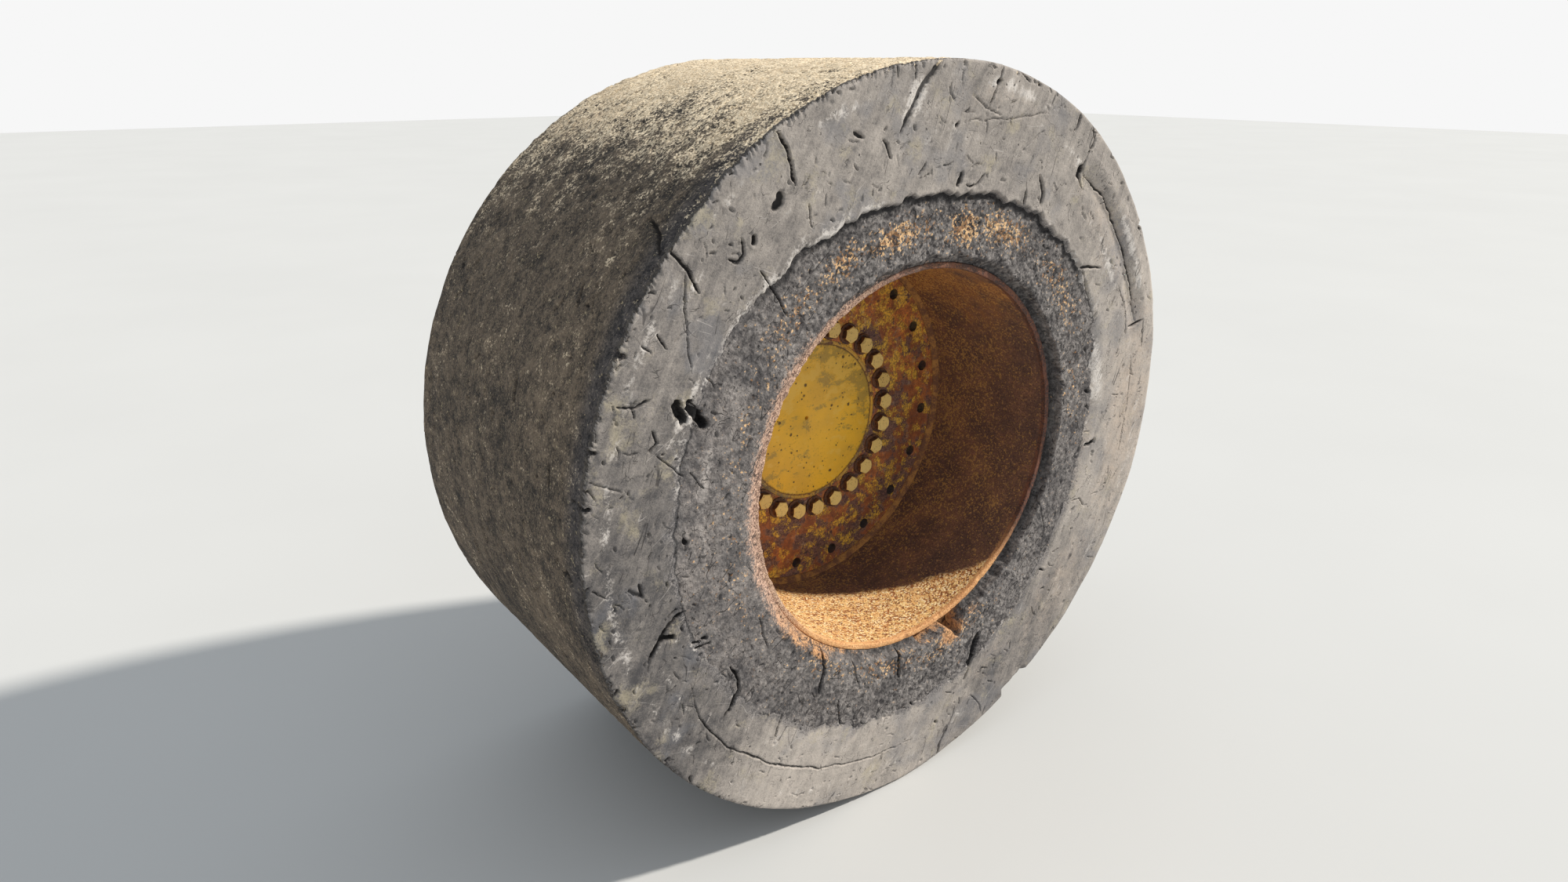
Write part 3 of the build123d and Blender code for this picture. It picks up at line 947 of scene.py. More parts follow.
def rusted_band():
    """The steel band: dark rust with flecks of old yellow, orange dust with painted sunlight on
    its front, low, and its lip lighter at the bottom with sandy grit and painted sunlight.
    """
    f = Finish("rusted_band")
    patch, cloud = f.noise(0.07, 4, 0.62), f.noise(0.15, 3, 0.6, 6.0)
    fleck, fine = f.noise(0.0075, 3, 0.75, 3.0), f.noise(0.0040, 2, 0.85, 5.0)
    each, scale = f.shades(0.0034, 3.0), f.shades(0.010, 9.0)
    (edge,) = f.stored("edge")
    grain = f.noise(0.0022, 2, 0.8, 8.0)
    height = f.axis("Z")
    deep = f.step(f.axis("Y"), DISC_FACE * MM - 0.17, DISC_FACE * MM)
    up = f.step(height, 0.0, 0.36)
    base = f.blend(patch + fine.sway(0.5), 0.36, 0.66, (96, 70, 62), (136, 96, 74))
    base = f.mix(f.step(fine + fleck.sway(0.5), 0.40, 0.58) * 0.75, base, (56, 41, 41))
    glow = f.step(up * 0.75 + deep * 0.15 + cloud.sway(1.2) + patch.sway(0.7), 0.40, 0.95)
    base = f.mix(glow * 0.75, base, f.blend(fine + fleck.sway(0.4), 0.40, 0.60, (120, 74, 42),
                                            (196, 130, 56)))
    yellow = fleck + fine.sway(0.7) + (up + deep - 0.8) * 0.07 + cloud.sway(0.45) \
        + each.sway(0.12)
    base = f.mix(f.step(yellow, 0.54, 0.62) * (0.60 + deep * up * 0.3), base, (202, 154, 84))
    base = f.mix(f.step(each + fine.sway(0.8), 0.80, 0.95) * 0.35, base, (190, 142, 92))
    # Dust and painted sunlight: the pale patch lies only where the sun reaches in past the lip,
    # low at the front, and is coloured as lit.
    sunlit_depth = f.axis("Y") + f.axis("X") * 0.593 + height * 0.533
    lip_plane = (OUTER_FACE + BAND_SETBACK) * MM
    sunlit_dust_patch = f.step(sunlit_depth + patch.sway(0.05), lip_plane + 0.035, lip_plane - 0.005) \
        * f.step(height, -0.06, -0.18)
    sunlit_dust_patch = f.step(sunlit_dust_patch + fine.sway(0.6), 0.30, 0.80)
    dust = f.blend(fleck + fine.sway(0.7) + each.sway(0.4) + scale.sway(0.3), 0.34, 0.62,
                   (170, 104, 50), (248, 210, 142))
    base = f.mix(sunlit_dust_patch, base, f.mix(f.step(each + fine.sway(0.5), 0.78, 0.92) * 0.8, dust,
                                    (252, 234, 196)))
    base = f.mix(sunlit_dust_patch * f.step(each + fine.sway(0.6), 0.24, 0.12) * 0.8, base, (108, 64, 38))
    base = f.mix(sunlit_dust_patch * f.step(scale + fine.sway(0.5), 0.66, 0.80) * 0.35, base, (214, 138, 66))
    gritty = f.step(edge + fine.sway(0.7), 0.35, 0.65)
    left = f.step(f.axis("X"), 0.05, -0.30)
    lip = f.blend(patch + fine.sway(0.6) + each.sway(0.3), 0.38, 0.62, (64, 44, 38),
                  (112, 68, 50))
    crust = f.blend(fine + grain.sway(1.0), 0.36, 0.62, (116, 86, 72), (210, 176, 152))
    # Low on the lip, sandy grit with painted sunlight: a lighter orange where the sun falls.
    sandy_sunlit_lip = f.blend(fine + patch.sway(0.5), 0.36, 0.64, (186, 126, 78), (232, 176, 118))
    lip = f.blend(height, -0.20, -0.34, f.mix(left, lip, crust), sandy_sunlit_lip)
    base = f.mix(gritty * 0.9, base, lip)
    normal = f.bumps((patch, 0.004, 0.3), (fleck, 0.004, 0.7), (fine, 0.0024, 0.8),
                     (grain, 0.0008, 0.6))
    return f.done(base, 0.76 + fine.sway(0.35), normal)


def rusted_disc():
    """The disc: rust from orange to purple-brown, with old yellow paint left in scabs, and
    painted shade on the walls of its holes and its edges.
    """
    f = Finish("rusted_disc")
    broad, patch = f.noise(0.11, 4, 0.62), f.noise(0.035, 5, 0.66, 2.0)
    fine, grain = f.noise(0.0060, 4, 0.75, 5.0), f.noise(0.0026, 2, 0.8, 9.0)
    high = f.step(f.axis("Z"), -0.10, 0.30)
    base = f.blend(patch + fine.sway(0.4), 0.38, 0.62, (146, 82, 46), (224, 132, 62))
    base = f.mix(f.step(fine + grain.sway(0.5), 0.44, 0.60) * 0.65, base, (92, 62, 50))
    sooty = f.step(broad + patch.sway(1.0) - high * 0.10, 0.45, 0.54)
    base = f.mix(sooty * 0.9, base, f.blend(fine + grain.sway(0.5), 0.42, 0.60, (56, 47, 56),
                                            (132, 98, 82)))
    scabs = f.noise(0.040, 6, 0.74, 11.0) + grain.sway(0.35) + high * 0.05
    paint = f.step(scabs, 0.53, 0.575)
    base = f.mix(paint * 0.9, base, f.blend(fine, 0.42, 0.60, (248, 196, 66), (160, 118, 60)))
    drops = f.dots(0.030, 0.17, 7.0, fine.sway(0.35)) * f.step(patch, 0.46, 0.52)
    base = f.mix(drops * 0.8, base, (58, 46, 46))
    ash = f.step(f.noise(0.028, 4, 0.7, 17.0) + grain.sway(0.5), 0.60, 0.70)
    base = f.mix(ash * 0.5, base, (170, 142, 118))
    # Painted shade on the walls of the holes and on the other faces that do not face along the
    # axle.
    hole_wall_shade = f.step(abs(f.facing("Y")), 0.55, 0.30)
    base = f.mix(hole_wall_shade * 0.85, base, (38, 32, 32))
    normal = f.bumps((paint, 0.0008, 0.6), (patch, 0.003, 0.4), (fine, 0.0018, 0.6),
                     (grain, 0.0006, 0.5))
    return f.done(base, 0.72 + fine.sway(0.35), normal)


def cover_paint():
    """The cover's yellow paint: dulled, with dark specks, smears and a rusty rim."""
    f = Finish("cover_paint")
    broad, smear = f.noise(0.15, 4, 0.6), f.noise(0.055, 5, 0.68, 3.0, (2.0, 1.0, 0.9))
    fine, patch = f.noise(0.0060, 4, 0.75, 5.0), f.noise(0.025, 4, 0.65, 9.0)
    base = f.blend(broad, 0.36, 0.66, (244, 190, 50), (226, 176, 58))
    up = f.step(f.axis("Z") + f.axis("X") * 0.8, 0.02, 0.20)
    dull = f.step(smear + up * 0.10 + patch.sway(0.3) + fine.sway(0.30), 0.555, 0.65)
    base = f.mix(dull * 0.6, base, (146, 128, 72))
    base = f.mix(f.step(smear + patch.sway(0.5) - up * 0.1, 0.42, 0.34) * 0.4, base,
                 (238, 200, 96))
    base = f.mix(f.step(fine + patch.sway(0.4), 0.58, 0.70) * 0.5, base, (176, 128, 44))
    ragged = fine.sway(0.22)
    dots = f.dots(0.015, 0.20, 2.0, ragged) * f.step(patch, 0.48, 0.54)
    chips = f.dots(0.042, 0.12, 6.0, ragged)
    marks = dots.most(chips)
    base = f.mix(marks * 0.9, base, (70, 50, 30))
    out = f.node("ShaderNodeVectorMath", {"operation": "LENGTH"},
                 {0: f.at((1, 0, 1))}, output="Value")
    rim = f.step(out + fine.sway(0.012), 0.1805, 0.1865)
    base = f.mix(rim * 0.9, base, (98, 62, 38))
    normal = f.bumps((broad, 0.002, 0.2), (1.0 - marks, 0.0008, 0.6), (smear, 0.0008, 0.3),
                     (fine, 0.0006, 0.4))
    return f.done(base, 0.52 + fine.sway(0.3), normal)


def bolt_paint():
    """Pale yellow paint left on the bolts' crowns; their sides and washers are dark rust."""
    f = Finish("bolt_paint")
    tone, part = f.stored("tone", "part")
    patch, fine = f.noise(0.014, 4, 0.65, 2.0), f.noise(0.005, 3, 0.65)
    speck = f.noise(0.002, 2, 0.7, 4.0)
    paint = f.mix(tone, (240, 208, 128), (212, 178, 102))
    paint = f.mix(f.step(fine, 0.50, 0.75) * 0.5, paint, (164, 126, 60))
    rust = f.blend(fine + speck.sway(0.5), 0.40, 0.62, (62, 42, 36), (118, 76, 44))
    side = part + patch.sway(0.5) + fine.sway(0.3)
    base = f.blend(side, 0.62, 0.78, rust, paint)
    chip = f.step(fine + speck.sway(0.5) + tone * 0.10, 0.70, 0.76)
    base = f.mix(chip, base, (106, 70, 44))
    return f.done(base, 0.62 + speck.sway(0.3), f.bumps((fine, 0.0008, 0.5)))


def case_bolt_steel():
    """Dark steel of the case bolts, dulled and rusting at the foot."""
    f = Finish("case_bolt_steel")
    tone, part = f.stored("tone", "part")
    patch, fine = f.noise(0.012, 4, 0.62), f.noise(0.003, 3, 0.7, 3.0)
    base = f.mix(tone, (98, 92, 86), (78, 72, 68))
    base = f.blend(patch - part * 0.15 + fine.sway(0.4), 0.40, 0.58, base, (112, 68, 42))
    return f.done(base, 0.55 + fine.sway(0.4), f.bumps((fine, 0.0006, 0.5)), 0.3 + part * 0.3)


def seal_rubber():
    """The seal's rusty steel case, and its rubber lip, with dust lying on it."""
    f = Finish("seal_rubber")
    (lip,) = f.stored("lip")
    patch, fine = f.noise(0.02, 4, 0.65), f.noise(0.004, 3, 0.75, 3.0)
    case = f.blend(patch + fine.sway(0.6), 0.40, 0.62, (118, 104, 90), (96, 62, 42))
    rubber = f.blend(patch + fine.sway(0.8), 0.44, 0.66, (46, 44, 43), (104, 92, 78))
    return f.done(f.mix(lip, case, rubber), 0.62 + fine.sway(0.3),
                  f.bumps((patch, 0.0008, 0.4), (fine, 0.0005, 0.5)))


def plain_rust(name, light, dark, roughness=0.7, metallic=0.0):
    """A rusted or oily steel finish between two colours."""
    f = Finish(name)
    patch, fine = f.noise(0.03, 4, 0.62), f.noise(0.004, 3, 0.7, 3.0)
    base = f.blend(patch + fine.sway(0.6), 0.38, 0.64, dark, light)
    return f.done(base, roughness + fine.sway(0.3),
                  f.bumps((patch, 0.0015, 0.4), (fine, 0.0007, 0.5)), metallic)


def chipped_casting(name, paint, faded, bare, settled=0.0):
    """Old paint on a rough casting: faded, chipped to rust, under road dirt and settled dust."""
    f = Finish(name)
    broad, patch = f.noise(0.12, 4, 0.6), f.noise(0.030, 5, 0.68, 2.0)
    fine, grain = f.noise(0.0060, 4, 0.72, 5.0), f.noise(0.0022, 2, 0.8, 7.0)
    grime = f.noise(0.07, 4, 0.65, 8.0)
    coat = f.blend(broad + patch.sway(0.4), 0.38, 0.62, paint, faded)
    coat = f.mix(f.step(fine + grain.sway(0.5), 0.50, 0.68) * 0.4, coat, (116, 90, 50))
    rust = f.blend(fine + grain.sway(0.6), 0.38, 0.62, (66, 45, 37), (132, 84, 52))
    chipped = f.step(patch * 0.75 + broad * 0.25 + fine.sway(0.25), bare, bare + 0.025)
    base = f.mix(chipped, coat, rust)
    dirt = f.blend(fine + grain.sway(0.6), 0.36, 0.64, (66, 58, 50), (122, 107, 88))
    base = f.mix(f.step(grime + fine.sway(0.4), 0.46, 0.62) * 0.8, base, dirt)
    lying = f.step(f.facing("Z") + patch.sway(0.9) + fine.sway(0.5), 0.35, 0.95)
    base = f.mix(lying * settled, base, (178, 160, 132))
    return f.done(base, 0.68 + fine.sway(0.35),
                  f.bumps((1.0 - chipped, 0.0005, 0.7), (patch, 0.0012, 0.4),
                          (fine, 0.0010, 0.6), (grain, 0.0004, 0.5)))


# ---- The tyre ----
INNER_EDGE = BAND_RADIUS + 0.5
BACK_ROUNDING = 16.0
# Stations of the walls, hidden in the rubber, with which the tyre's pieces close
FACE_BACK = 52.0
WORN_BAND_BACK = (50.0, 82.0)
CARCASS_FRONT = (88.0, 72.0)
# How many triangles the largest pieces keep
SIDE_TRIANGLES = 196000
CARCASS_TRIANGLES = 190000
RIM_TRIANGLES = 130000


def chunk_torn(angle, radius, station):
    """Move points that lie in the chunk torn from the shoulder back onto its floor."""
    floor = TYRE_RADIUS * CHUNK["share"]
    slope = (TYRE_RADIUS - floor) / CHUNK["depth"]
    out, inward = np.array([1.0, -slope]) / math.hypot(1.0, slope)
    place = lifted(on_flat(angle, radius), station)
    uneven = 3.0 * lumps(place, 24.0, 4.0) + 1.6 * lumps(place, 9.0, 2.0)
    ends = CHUNK["half_angle"] + 0.5 * lumps(place, 16.0, 9.0)
    inside = 1.0 - rise(np.abs(turn_gap(angle, CHUNK["angle"])), ends - 0.5, ends + 0.2)
    proud = (radius - floor) * out + station * inward + uneven
    moved = np.maximum(proud, 0.0) * inside
    return radius - out * moved, station - inward * moved


def lip_station(angle):
    """Where the side's rubber, curled over the shoulder, ends on the tread."""
    place = lifted(on_flat(angle, TYRE_RADIUS))
    ragged = 5.0 * np.abs(lumps(place, 34.0, 12.0)) + 3.0 * lumps(place, 11.0, 5.0) \
        + 2.2 * lumps(place, 5.5, 8.0)
    return around_table(angle, SHOULDER) + 7.0 + ragged


def shoulder_reach(angle, station):
    """The tread's station as a radius of the side unrolled round its shoulder."""
    return TYRE_RADIUS - (2.0 - math.pi / 2) * around_table(angle, SHOULDER) + station


def patches(angle, share, table):
    """How much of a patch lies at each point: 1 at its middle, 0 well outside it."""
    total = np.zeros(len(angle))
    for middle, at, half_angle, half_share, amount in table:
        off = (turn_gap(angle, middle) / half_angle) ** 2 + ((share - at) / half_share) ** 2
        total = np.maximum(total, amount * np.exp(-off))
    return total


# Patches: (angle, share of radius, half length in degrees, half width in shares, amount)
PALE_PATCHES = (
    (152, .95, 16, .022, .60), (182, .94, 22, .020, .62), (214, .93, 16, .022, .50),
    (158, .80, 7, .026, .50), (205, .87, 12, .016, .40), (140, .90, 10, .018, .40),
    (97, .925, 4, .060, .75), (110, .95, 10, .022, .55), (75, .955, 12, .022, .60),
    (88, .83, 12, .030, .45), (32, .928, 14, .018, .75), (36, .825, 14, .022, .70),
    (9, .725, 8, .026, .70), (12, .86, 14, .028, .50), (-10, .93, 16, .024, .55),
    (-8, .80, 14, .030, .50), (-30, .90, 12, .026, .50), (-45, .84, 12, .030, .45),
    (246, .94, 22, .020, .45), (268, .92, 14, .026, .45), (230, .82, 14, .028, .35),
    (255, .82, 12, .026, .40), (-78, .90, 10, .030, .45), (120, .83, 10, .024, .40),
    (130, .96, 8, .018, .50), (60, .90, 8, .020, .50),
)
DUST_PATCHES = (
    (0, .88, 34, .16, .80), (40, .86, 24, .14, .55), (-40, .84, 24, .16, .60),
    (-5, .68, 26, .10, .55), (80, .93, 26, .06, .45), (100, .70, 16, .05, .35),
    (300, .80, 24, .16, .45), (265, .80, 26, .14, .40), (230, .88, 24, .10, .25),
)
BAND_PALE_PATCHES = (
    (170, .70, 14, .030, .70), (150, .69, 10, .030, .60), (195, .69, 12, .030, .50),
    (182, .62, 10, .030, .45), (140, .64, 8, .022, .45), (215, .66, 12, .030, .40),
    (20, .67, 12, .020, .50), (0, .63, 14, .030, .35), (60, .66, 10, .025, .35),
    (250, .68, 12, .026, .35), (280, .66, 12, .026, .35), (310, .64, 12, .030, .40),
)
# How smeared, rather than crumbly, the worn band is, and how rusty its inner edge
SMEARED = ((0, .4), (40, .1), (90, 0), (125, .15), (150, .6), (180, .9), (210, .8), (240, .35),
           (270, .15), (300, .1), (330, .3))
RUSTY_HEEL = ((0, 0), (40, .1), (80, .3), (115, .6), (140, .95), (170, 1), (205, .95),
              (235, .7), (262, .25), (285, .35), (305, .2), (330, .05))
STAINS = (
    (-73, .585, 6, .036, 1.0), (-63, .570, 4, .018, .60), (-83, .556, 4, .014, .60),
    (233, .556, 6, .018, .85),
)
GRIT_PATCHES = (
    (102, .625, 9, .030, .85), (81, .615, 6, .040, .80), (68, .640, 8, .035, .70),
    (118, .640, 8, .030, .50), (134, .640, 12, .035, .30), (40, .640, 14, .035, .35),
    (160, .620, 14, .040, .16), (190, .620, 16, .045, .14), (10, .610, 14, .035, .20),
    (285, .60, 14, .035, .34), (262, .585, 16, .030, .34), (240, .585, 14, .030, .22),
)


def tyre_face():
    """The outboard face outside the worn band, and the shoulder that curls over the tread."""
    turns, face_rows, arc_rows, lip_rows = 2200, 92, 8, 8
    angles = angles_of(turns)
    bend = around_table(angles, SHOULDER)[:, None]
    end = lip_station(angles)[:, None]
    inner = worn_edge(angles)[:, None]
    corner = TYRE_RADIUS - bend
    face = inner + (corner - inner) * np.linspace(0.0, 1.0, face_rows)[None]
    arc = np.linspace(0.0, math.pi / 2, arc_rows + 2)[None, 1:-1]
    lip = bend + (end - bend) * np.linspace(0.0, 1.0, lip_rows)[None]
    zeros = np.zeros_like
    unrolled = np.hstack([face, corner + bend * arc, shoulder_reach(angles[:, None], lip)])
    radius = np.hstack([face, corner + bend * np.sin(arc), TYRE_RADIUS + zeros(lip)])
    station = np.hstack([zeros(face), bend * (1.0 - np.cos(arc)), lip])
    lean = np.hstack([zeros(face), arc + zeros(bend), math.pi / 2 + zeros(lip)])
    every = for_each(angles, radius)
    relief = face_relief(every, unrolled.ravel()).reshape(radius.shape)
    relief = np.where(unrolled > corner, np.maximum(relief, 0.0), relief)
    radius, station = radius - relief * np.sin(lean), station + relief * np.cos(lean)
    radius, station = (grid.reshape(relief.shape) for grid in
                       chunk_torn(every, radius.ravel(), station.ravel()))
    one = np.ones((turns, 1))
    step = around_table(angles, STEP_DEPTH)[:, None]
    foot = np.column_stack([inner[:, 0] + 3.0, inner[:, 0] - 0.6, inner[:, 0] - 0.4])
    fall = np.hstack([step + 9.0, step + 5.0, station[:, :1] + 0.45 * (step - station[:, :1])])
    radius = np.hstack([foot, radius, (TYRE_RADIUS - 14.0) * one, inner + 40.0])
    station = np.hstack([fall, station, end + 4.0, FACE_BACK * one])
    piece = thinned(ring_mesh("tyre_face", angles, radius, station), SIDE_TRIANGLES)
    angle, radius, station = polar(piece)
    reach = reach_of(angle, radius, station)
    broad, middling, streaks = face_waves(angle, reach)
    depth, lip = cuts_at(angle, reach)
    share = reach / TYRE_RADIUS
    past = reach - worn_edge(angle)
    slope = around_table(angle, TORN_SLOPE)
    # Pale scuffs along the torn edge, plus a painted highlight on the cuts' raised lips.
    scuff_and_lip_highlight = around_table(angle, SCUFFED) * np.exp(-((past - 4.0) / 26.0) ** 2) + 0.22 * lip
    # cavity darkens the cuts and torn darkens the torn edge's cliff wall, both as painted shade.
    # pale holds pale patches and scuffs, and a painted highlight on the cuts' lips.
    keep_values(
        piece, reach=reach, frayed=span(angle, *FRAYED_ARC),
        tone=around_table(angle, FACE_TONE) - 0.08 * broad - 0.06 * middling - 0.05 * streaks,
        around=(angle % 360.0) * math.radians(TYRE_RADIUS),
        worn=np.exp(-np.maximum(past, 0.0) / (5.0 + 0.7 * slope)),
        cavity=rise(depth, 1.0, 9.0), pale=patches(angle, share, PALE_PATCHES) + scuff_and_lip_highlight,
        dust=patches(angle, share, DUST_PATCHES),
        torn=(1.0 - rise(past, -0.5, 3.0)) * cliff(slope))
    return finished(piece, "wheel", "worn_rubber", rubber_face(), "tyre")


def reach_of(angle, radius, station):
    """The unrolled radius of points of the outboard side that are known by their place."""
    bend = around_table(angle, SHOULDER)
    corner = TYRE_RADIUS - bend
    over = np.arctan2(radius - corner, np.maximum(bend - station, 1e-3))
    reach = np.where(station > bend, shoulder_reach(angle, station),
                     corner + bend * np.clip(over, 0.0, math.pi / 2))
    return np.where(radius > corner, reach, radius)


def tyre_worn_band():
    """The worn inner band: crumbly rubber from the torn edge down to the steel's lip."""
    turns, rows = 2000, 92
    angles = angles_of(turns)
    outer = worn_edge(angles)[:, None] + 5.0
    radius = INNER_EDGE + (outer - INNER_EDGE) * np.linspace(0.003, 1.0, rows)[None]
    every = for_each(angles, radius)
    station = band_relief(every, radius.ravel()).reshape(radius.shape)
    one = np.ones((turns, 1))
    radius = np.hstack([radius, outer + 1.0, INNER_EDGE * one, INNER_EDGE * one])
    station = np.hstack([station, WORN_BAND_BACK * one, station[:, :1] + 0.6])
    piece = thinned(ring_mesh("tyre_worn_band", angles, radius, station), SIDE_TRIANGLES)
    angle, radius, station = polar(piece)
    heel, bite = band_masks(angle, radius)
    share = radius / TYRE_RADIUS
    edge = worn_edge(angle)
    step, slope = around_table(angle, STEP_DEPTH), around_table(angle, TORN_SLOPE)
    # Painted shade at the foot of the torn edge's cliff, kept with the cuts' shade.
    foot = cliff(slope) * (0.2 + 0.06 * step) * rise(radius, edge - 20.0, edge - 3.0)
    low_edge = heel * rise(station, 10.0, 20.0) * around_table(angle, RUSTY_HEEL)
    crusted = span(angle, 128.0, 236.0, 16.0) * rise(radius, 488.0, 436.0) * 0.7
    stained = np.maximum(patches(angle, share, STAINS), bite * rise(station, 20.0, 45.0))
    # raised makes the crumbs lighter and their creases darker, and cavity darkens the cuts and
    # the torn edge's foot: painted light and shade.
    keep_values(
        piece, raised=0.5 + 0.5 * crumbs(angle, radius),
        cavity=np.maximum(rise(cuts_at(angle, radius)[0], 1.0, 9.0), np.clip(foot, 0.0, 0.85)),
        smooth=around_table(angle, SMEARED), pale=patches(angle, share, BAND_PALE_PATCHES),
        grit=patches(angle, share, GRIT_PATCHES),
        rust=np.maximum(np.maximum(low_edge, crusted), stained),
        rough=around_table(angle, CRUMBLE), heel=heel)
    return finished(piece, "wheel", "worn_rubber", rubber_band(), "tyre")


def tyre_carcass():
    """The tread and the inboard side, which start under the outboard side's lip."""
    turns, tread_rows, arc_rows = 1250, 176, 6
    angles = angles_of(turns)
    end = lip_station(angles)[:, None]
    back = TYRE_WIDTH - BACK_ROUNDING
    spread = np.linspace(0.0, 1.0, tread_rows)[None]
    tread = (end - 10.0) + (back - end + 10.0) * spread
    every = for_each(angles, tread)
    relief = tread_relief(every, tread.ravel())[0].reshape(tread.shape)
    near = (tread < end + 30.0).ravel()
    reach = shoulder_reach(every[near], tread.ravel()[near])
    under = face_relief(every[near], reach)
    hem = np.broadcast_to(end, tread.shape).ravel()[near]
    under = np.maximum(under, 0.0) + 0.8 + 0.3 * np.maximum(hem - tread.ravel()[near], 0.0)
    share = rise(tread.ravel()[near] - hem, 2.0, 28.0)
    relief = relief.ravel()
    relief[near] = relief[near] * share + under * (1.0 - share)
    radius, station = chunk_torn(every, TYRE_RADIUS - relief, tread.ravel())
    radius, station = radius.reshape(tread.shape), station.reshape(tread.shape)
    arc = np.linspace(0.0, math.pi / 2, arc_rows + 2)[None, 1:]
    marks = (TYRE_RADIUS - BACK_ROUNDING, 704.0, 688.0, 590.0, 526.0, 508.0, BAND_RADIUS + 16.0)
    inner = np.concatenate([np.linspace(start, stop, rows, endpoint=False) for start, stop, rows
                            in zip(marks, marks[1:], (11, 9, 12, 26, 9, 8))])[None, 1:]
    one = np.ones((turns, 1))
    around = np.hstack([(TYRE_RADIUS - BACK_ROUNDING + BACK_ROUNDING * np.cos(arc)) * one,
                        inner * one])
    along = np.hstack([(back + BACK_ROUNDING * np.sin(arc)) * one, TYRE_WIDTH + 0 * inner * one])
    dip = back_relief(for_each(angles, around), around.ravel())[0].reshape(around.shape)
    lean = np.hstack([arc * one, math.pi / 2 + 0 * inner * one])
    blend = np.minimum(np.hstack([arc * 2, math.pi + 0 * inner]), 1.0) * one
    dip = dip * blend + relief.reshape(tread.shape)[:, -1:] * (1.0 - blend)
    around, along = around - dip * np.cos(lean), along - dip * np.sin(lean)
    heel = BAND_END - OUTER_FACE
    radius = np.hstack([radius, around, (BAND_RADIUS + 1.0) * one, INNER_EDGE * one,
                        INNER_EDGE * one, 600.0 * one, (TYRE_RADIUS - 40.0) * one])
    station = np.hstack([station, along, (heel + 2.0) * one, (heel - 12.0) * one,
                         CARCASS_FRONT * one, end + 18.0])
    piece = thinned(ring_mesh("tyre_carcass", angles, radius, station), CARCASS_TRIANGLES)
    angle, radius, station = polar(piece)
    on_tread = radius > TYRE_RADIUS - 40.0
    relief, depth, grain = tread_relief(angle, station)
    on_back = station > TYRE_WIDTH - BACK_ROUNDING
    sunk, back_depth = back_relief(angle, radius)
    grooved = np.where(on_back, np.maximum(back_depth, 1.4 * (sunk - 5.0)), depth)
    top = 1.0 - rise(np.abs(turn_gap(angle, 84.0)), 12.0, 66.0)
    lines = lumps(np.column_stack([angle * 1.6, station, 0 * angle]), 38.0, 3.0)
    flat = lifted(on_flat(angle, radius))
    mud = 0.04 + 0.22 * lumps(flat, 150.0, 8.0) + 0.16 * lumps(flat, 55.0, 4.0) \
        + 0.14 * rise(radius, 640.0, 790.0)
    # raised darkens the tread's deeper grain and cavity its cuts and grooves: both painted shade.
    keep_values(
        piece, cavity=rise(grooved, 0.8, 7.0), raised=0.5 - np.where(on_tread, 0.45 * grain, 0.0),
        hem=rise(station, 85.0, 30.0) * span(angle, 118.0, 196.0, 14.0)
        * (on_tread & (station < 200.0)),
        dust=np.where(on_tread, 0.08 + 0.85 * top + 0.10 * lines, mud))
    return finished(piece, "wheel", "worn_rubber", rubber_tread(), "tyre")


# ---- The wheel's steel ----
def rim_ring():
    """The steel band: scaled with rust inside, its lip worn ragged."""
    turns = 1150
    angles = angles_of(turns)
    end = BAND_END - OUTER_FACE
    bore = BAND_RADIUS - BAND_WALL
    depth = np.concatenate([np.linspace(end, BAND_SETBACK + 40.0, 78),
                            np.linspace(BAND_SETBACK + 37.0, BAND_SETBACK + LIP_ROUNDING, 14)])
    edge = np.radians(np.linspace(0.0, 90.0, 4))
    inwards, behind = LIP_ROUNDING * (1 - np.cos(edge)), LIP_ROUNDING * (1 - np.sin(edge))
    radius = np.concatenate([
        np.full(len(depth), bore), bore + inwards, [bore + BAND_WALL / 2],
        BAND_RADIUS - inwards[::-1], np.full(10, BAND_RADIUS),
        [BAND_RADIUS, bore + BAND_WALL / 2]])
    station = np.concatenate([
        depth, BAND_SETBACK + behind, [BAND_SETBACK], BAND_SETBACK + behind[::-1],
        np.linspace(BAND_SETBACK + 6.0, BAND_SETBACK + 60.0, 10), [end, end]])
    turn = np.radians(angles)[:, None]
    place = np.stack([radius * np.cos(turn), station + 0 * turn, radius * np.sin(turn)],
                     -1).reshape(-1, 3)
    scale = 0.8 + 0.9 * lumps(place, 38.0) + 0.6 * lumps(place, 13.0, 3.0) \
        + 0.35 * lumps(place, 5.0, 6.0)
    scale = np.maximum(scale, 0.0).reshape(turns, -1)
    inside = np.where(radius < bore + 3.0, 1.0, np.where(radius > BAND_RADIUS - 3.0, -0.4, 0.0))
    around_lip = lifted(on_flat(angles, bore))
    crusted = span(angles, 118.0, 232.0, 14.0)
    dents = 1.2 * np.abs(lumps(around_lip, 70.0, 2.0)) + 1.6 * rise(
        lumps(around_lip, 26.0, 8.0), 0.35, 0.8) + 0.5 * lumps(around_lip, 8.0, 4.0)
    dents += crusted * (4.0 * np.abs(lumps(around_lip, 21.0, 3.0))
                        + 2.0 * np.abs(lumps(around_lip, 8.0, 9.0)))
    near_lip = 1.0 - rise(station, BAND_SETBACK + 3.0, BAND_SETBACK + 26.0)
    piece = ring_mesh("rim_ring", angles, radius + scale * inside,
                      station + np.maximum(dents, 0.0)[:, None] * near_lip)
    piece = thinned(piece, RIM_TRIANGLES)
    edge = 1.0 - rise(polar(piece)[2], BAND_SETBACK + 4.0, BAND_SETBACK + 20.0)
    keep_values(piece, edge=edge)
    return finished(piece, "wheel", "rusty_band", rusted_band(), "rim_band")


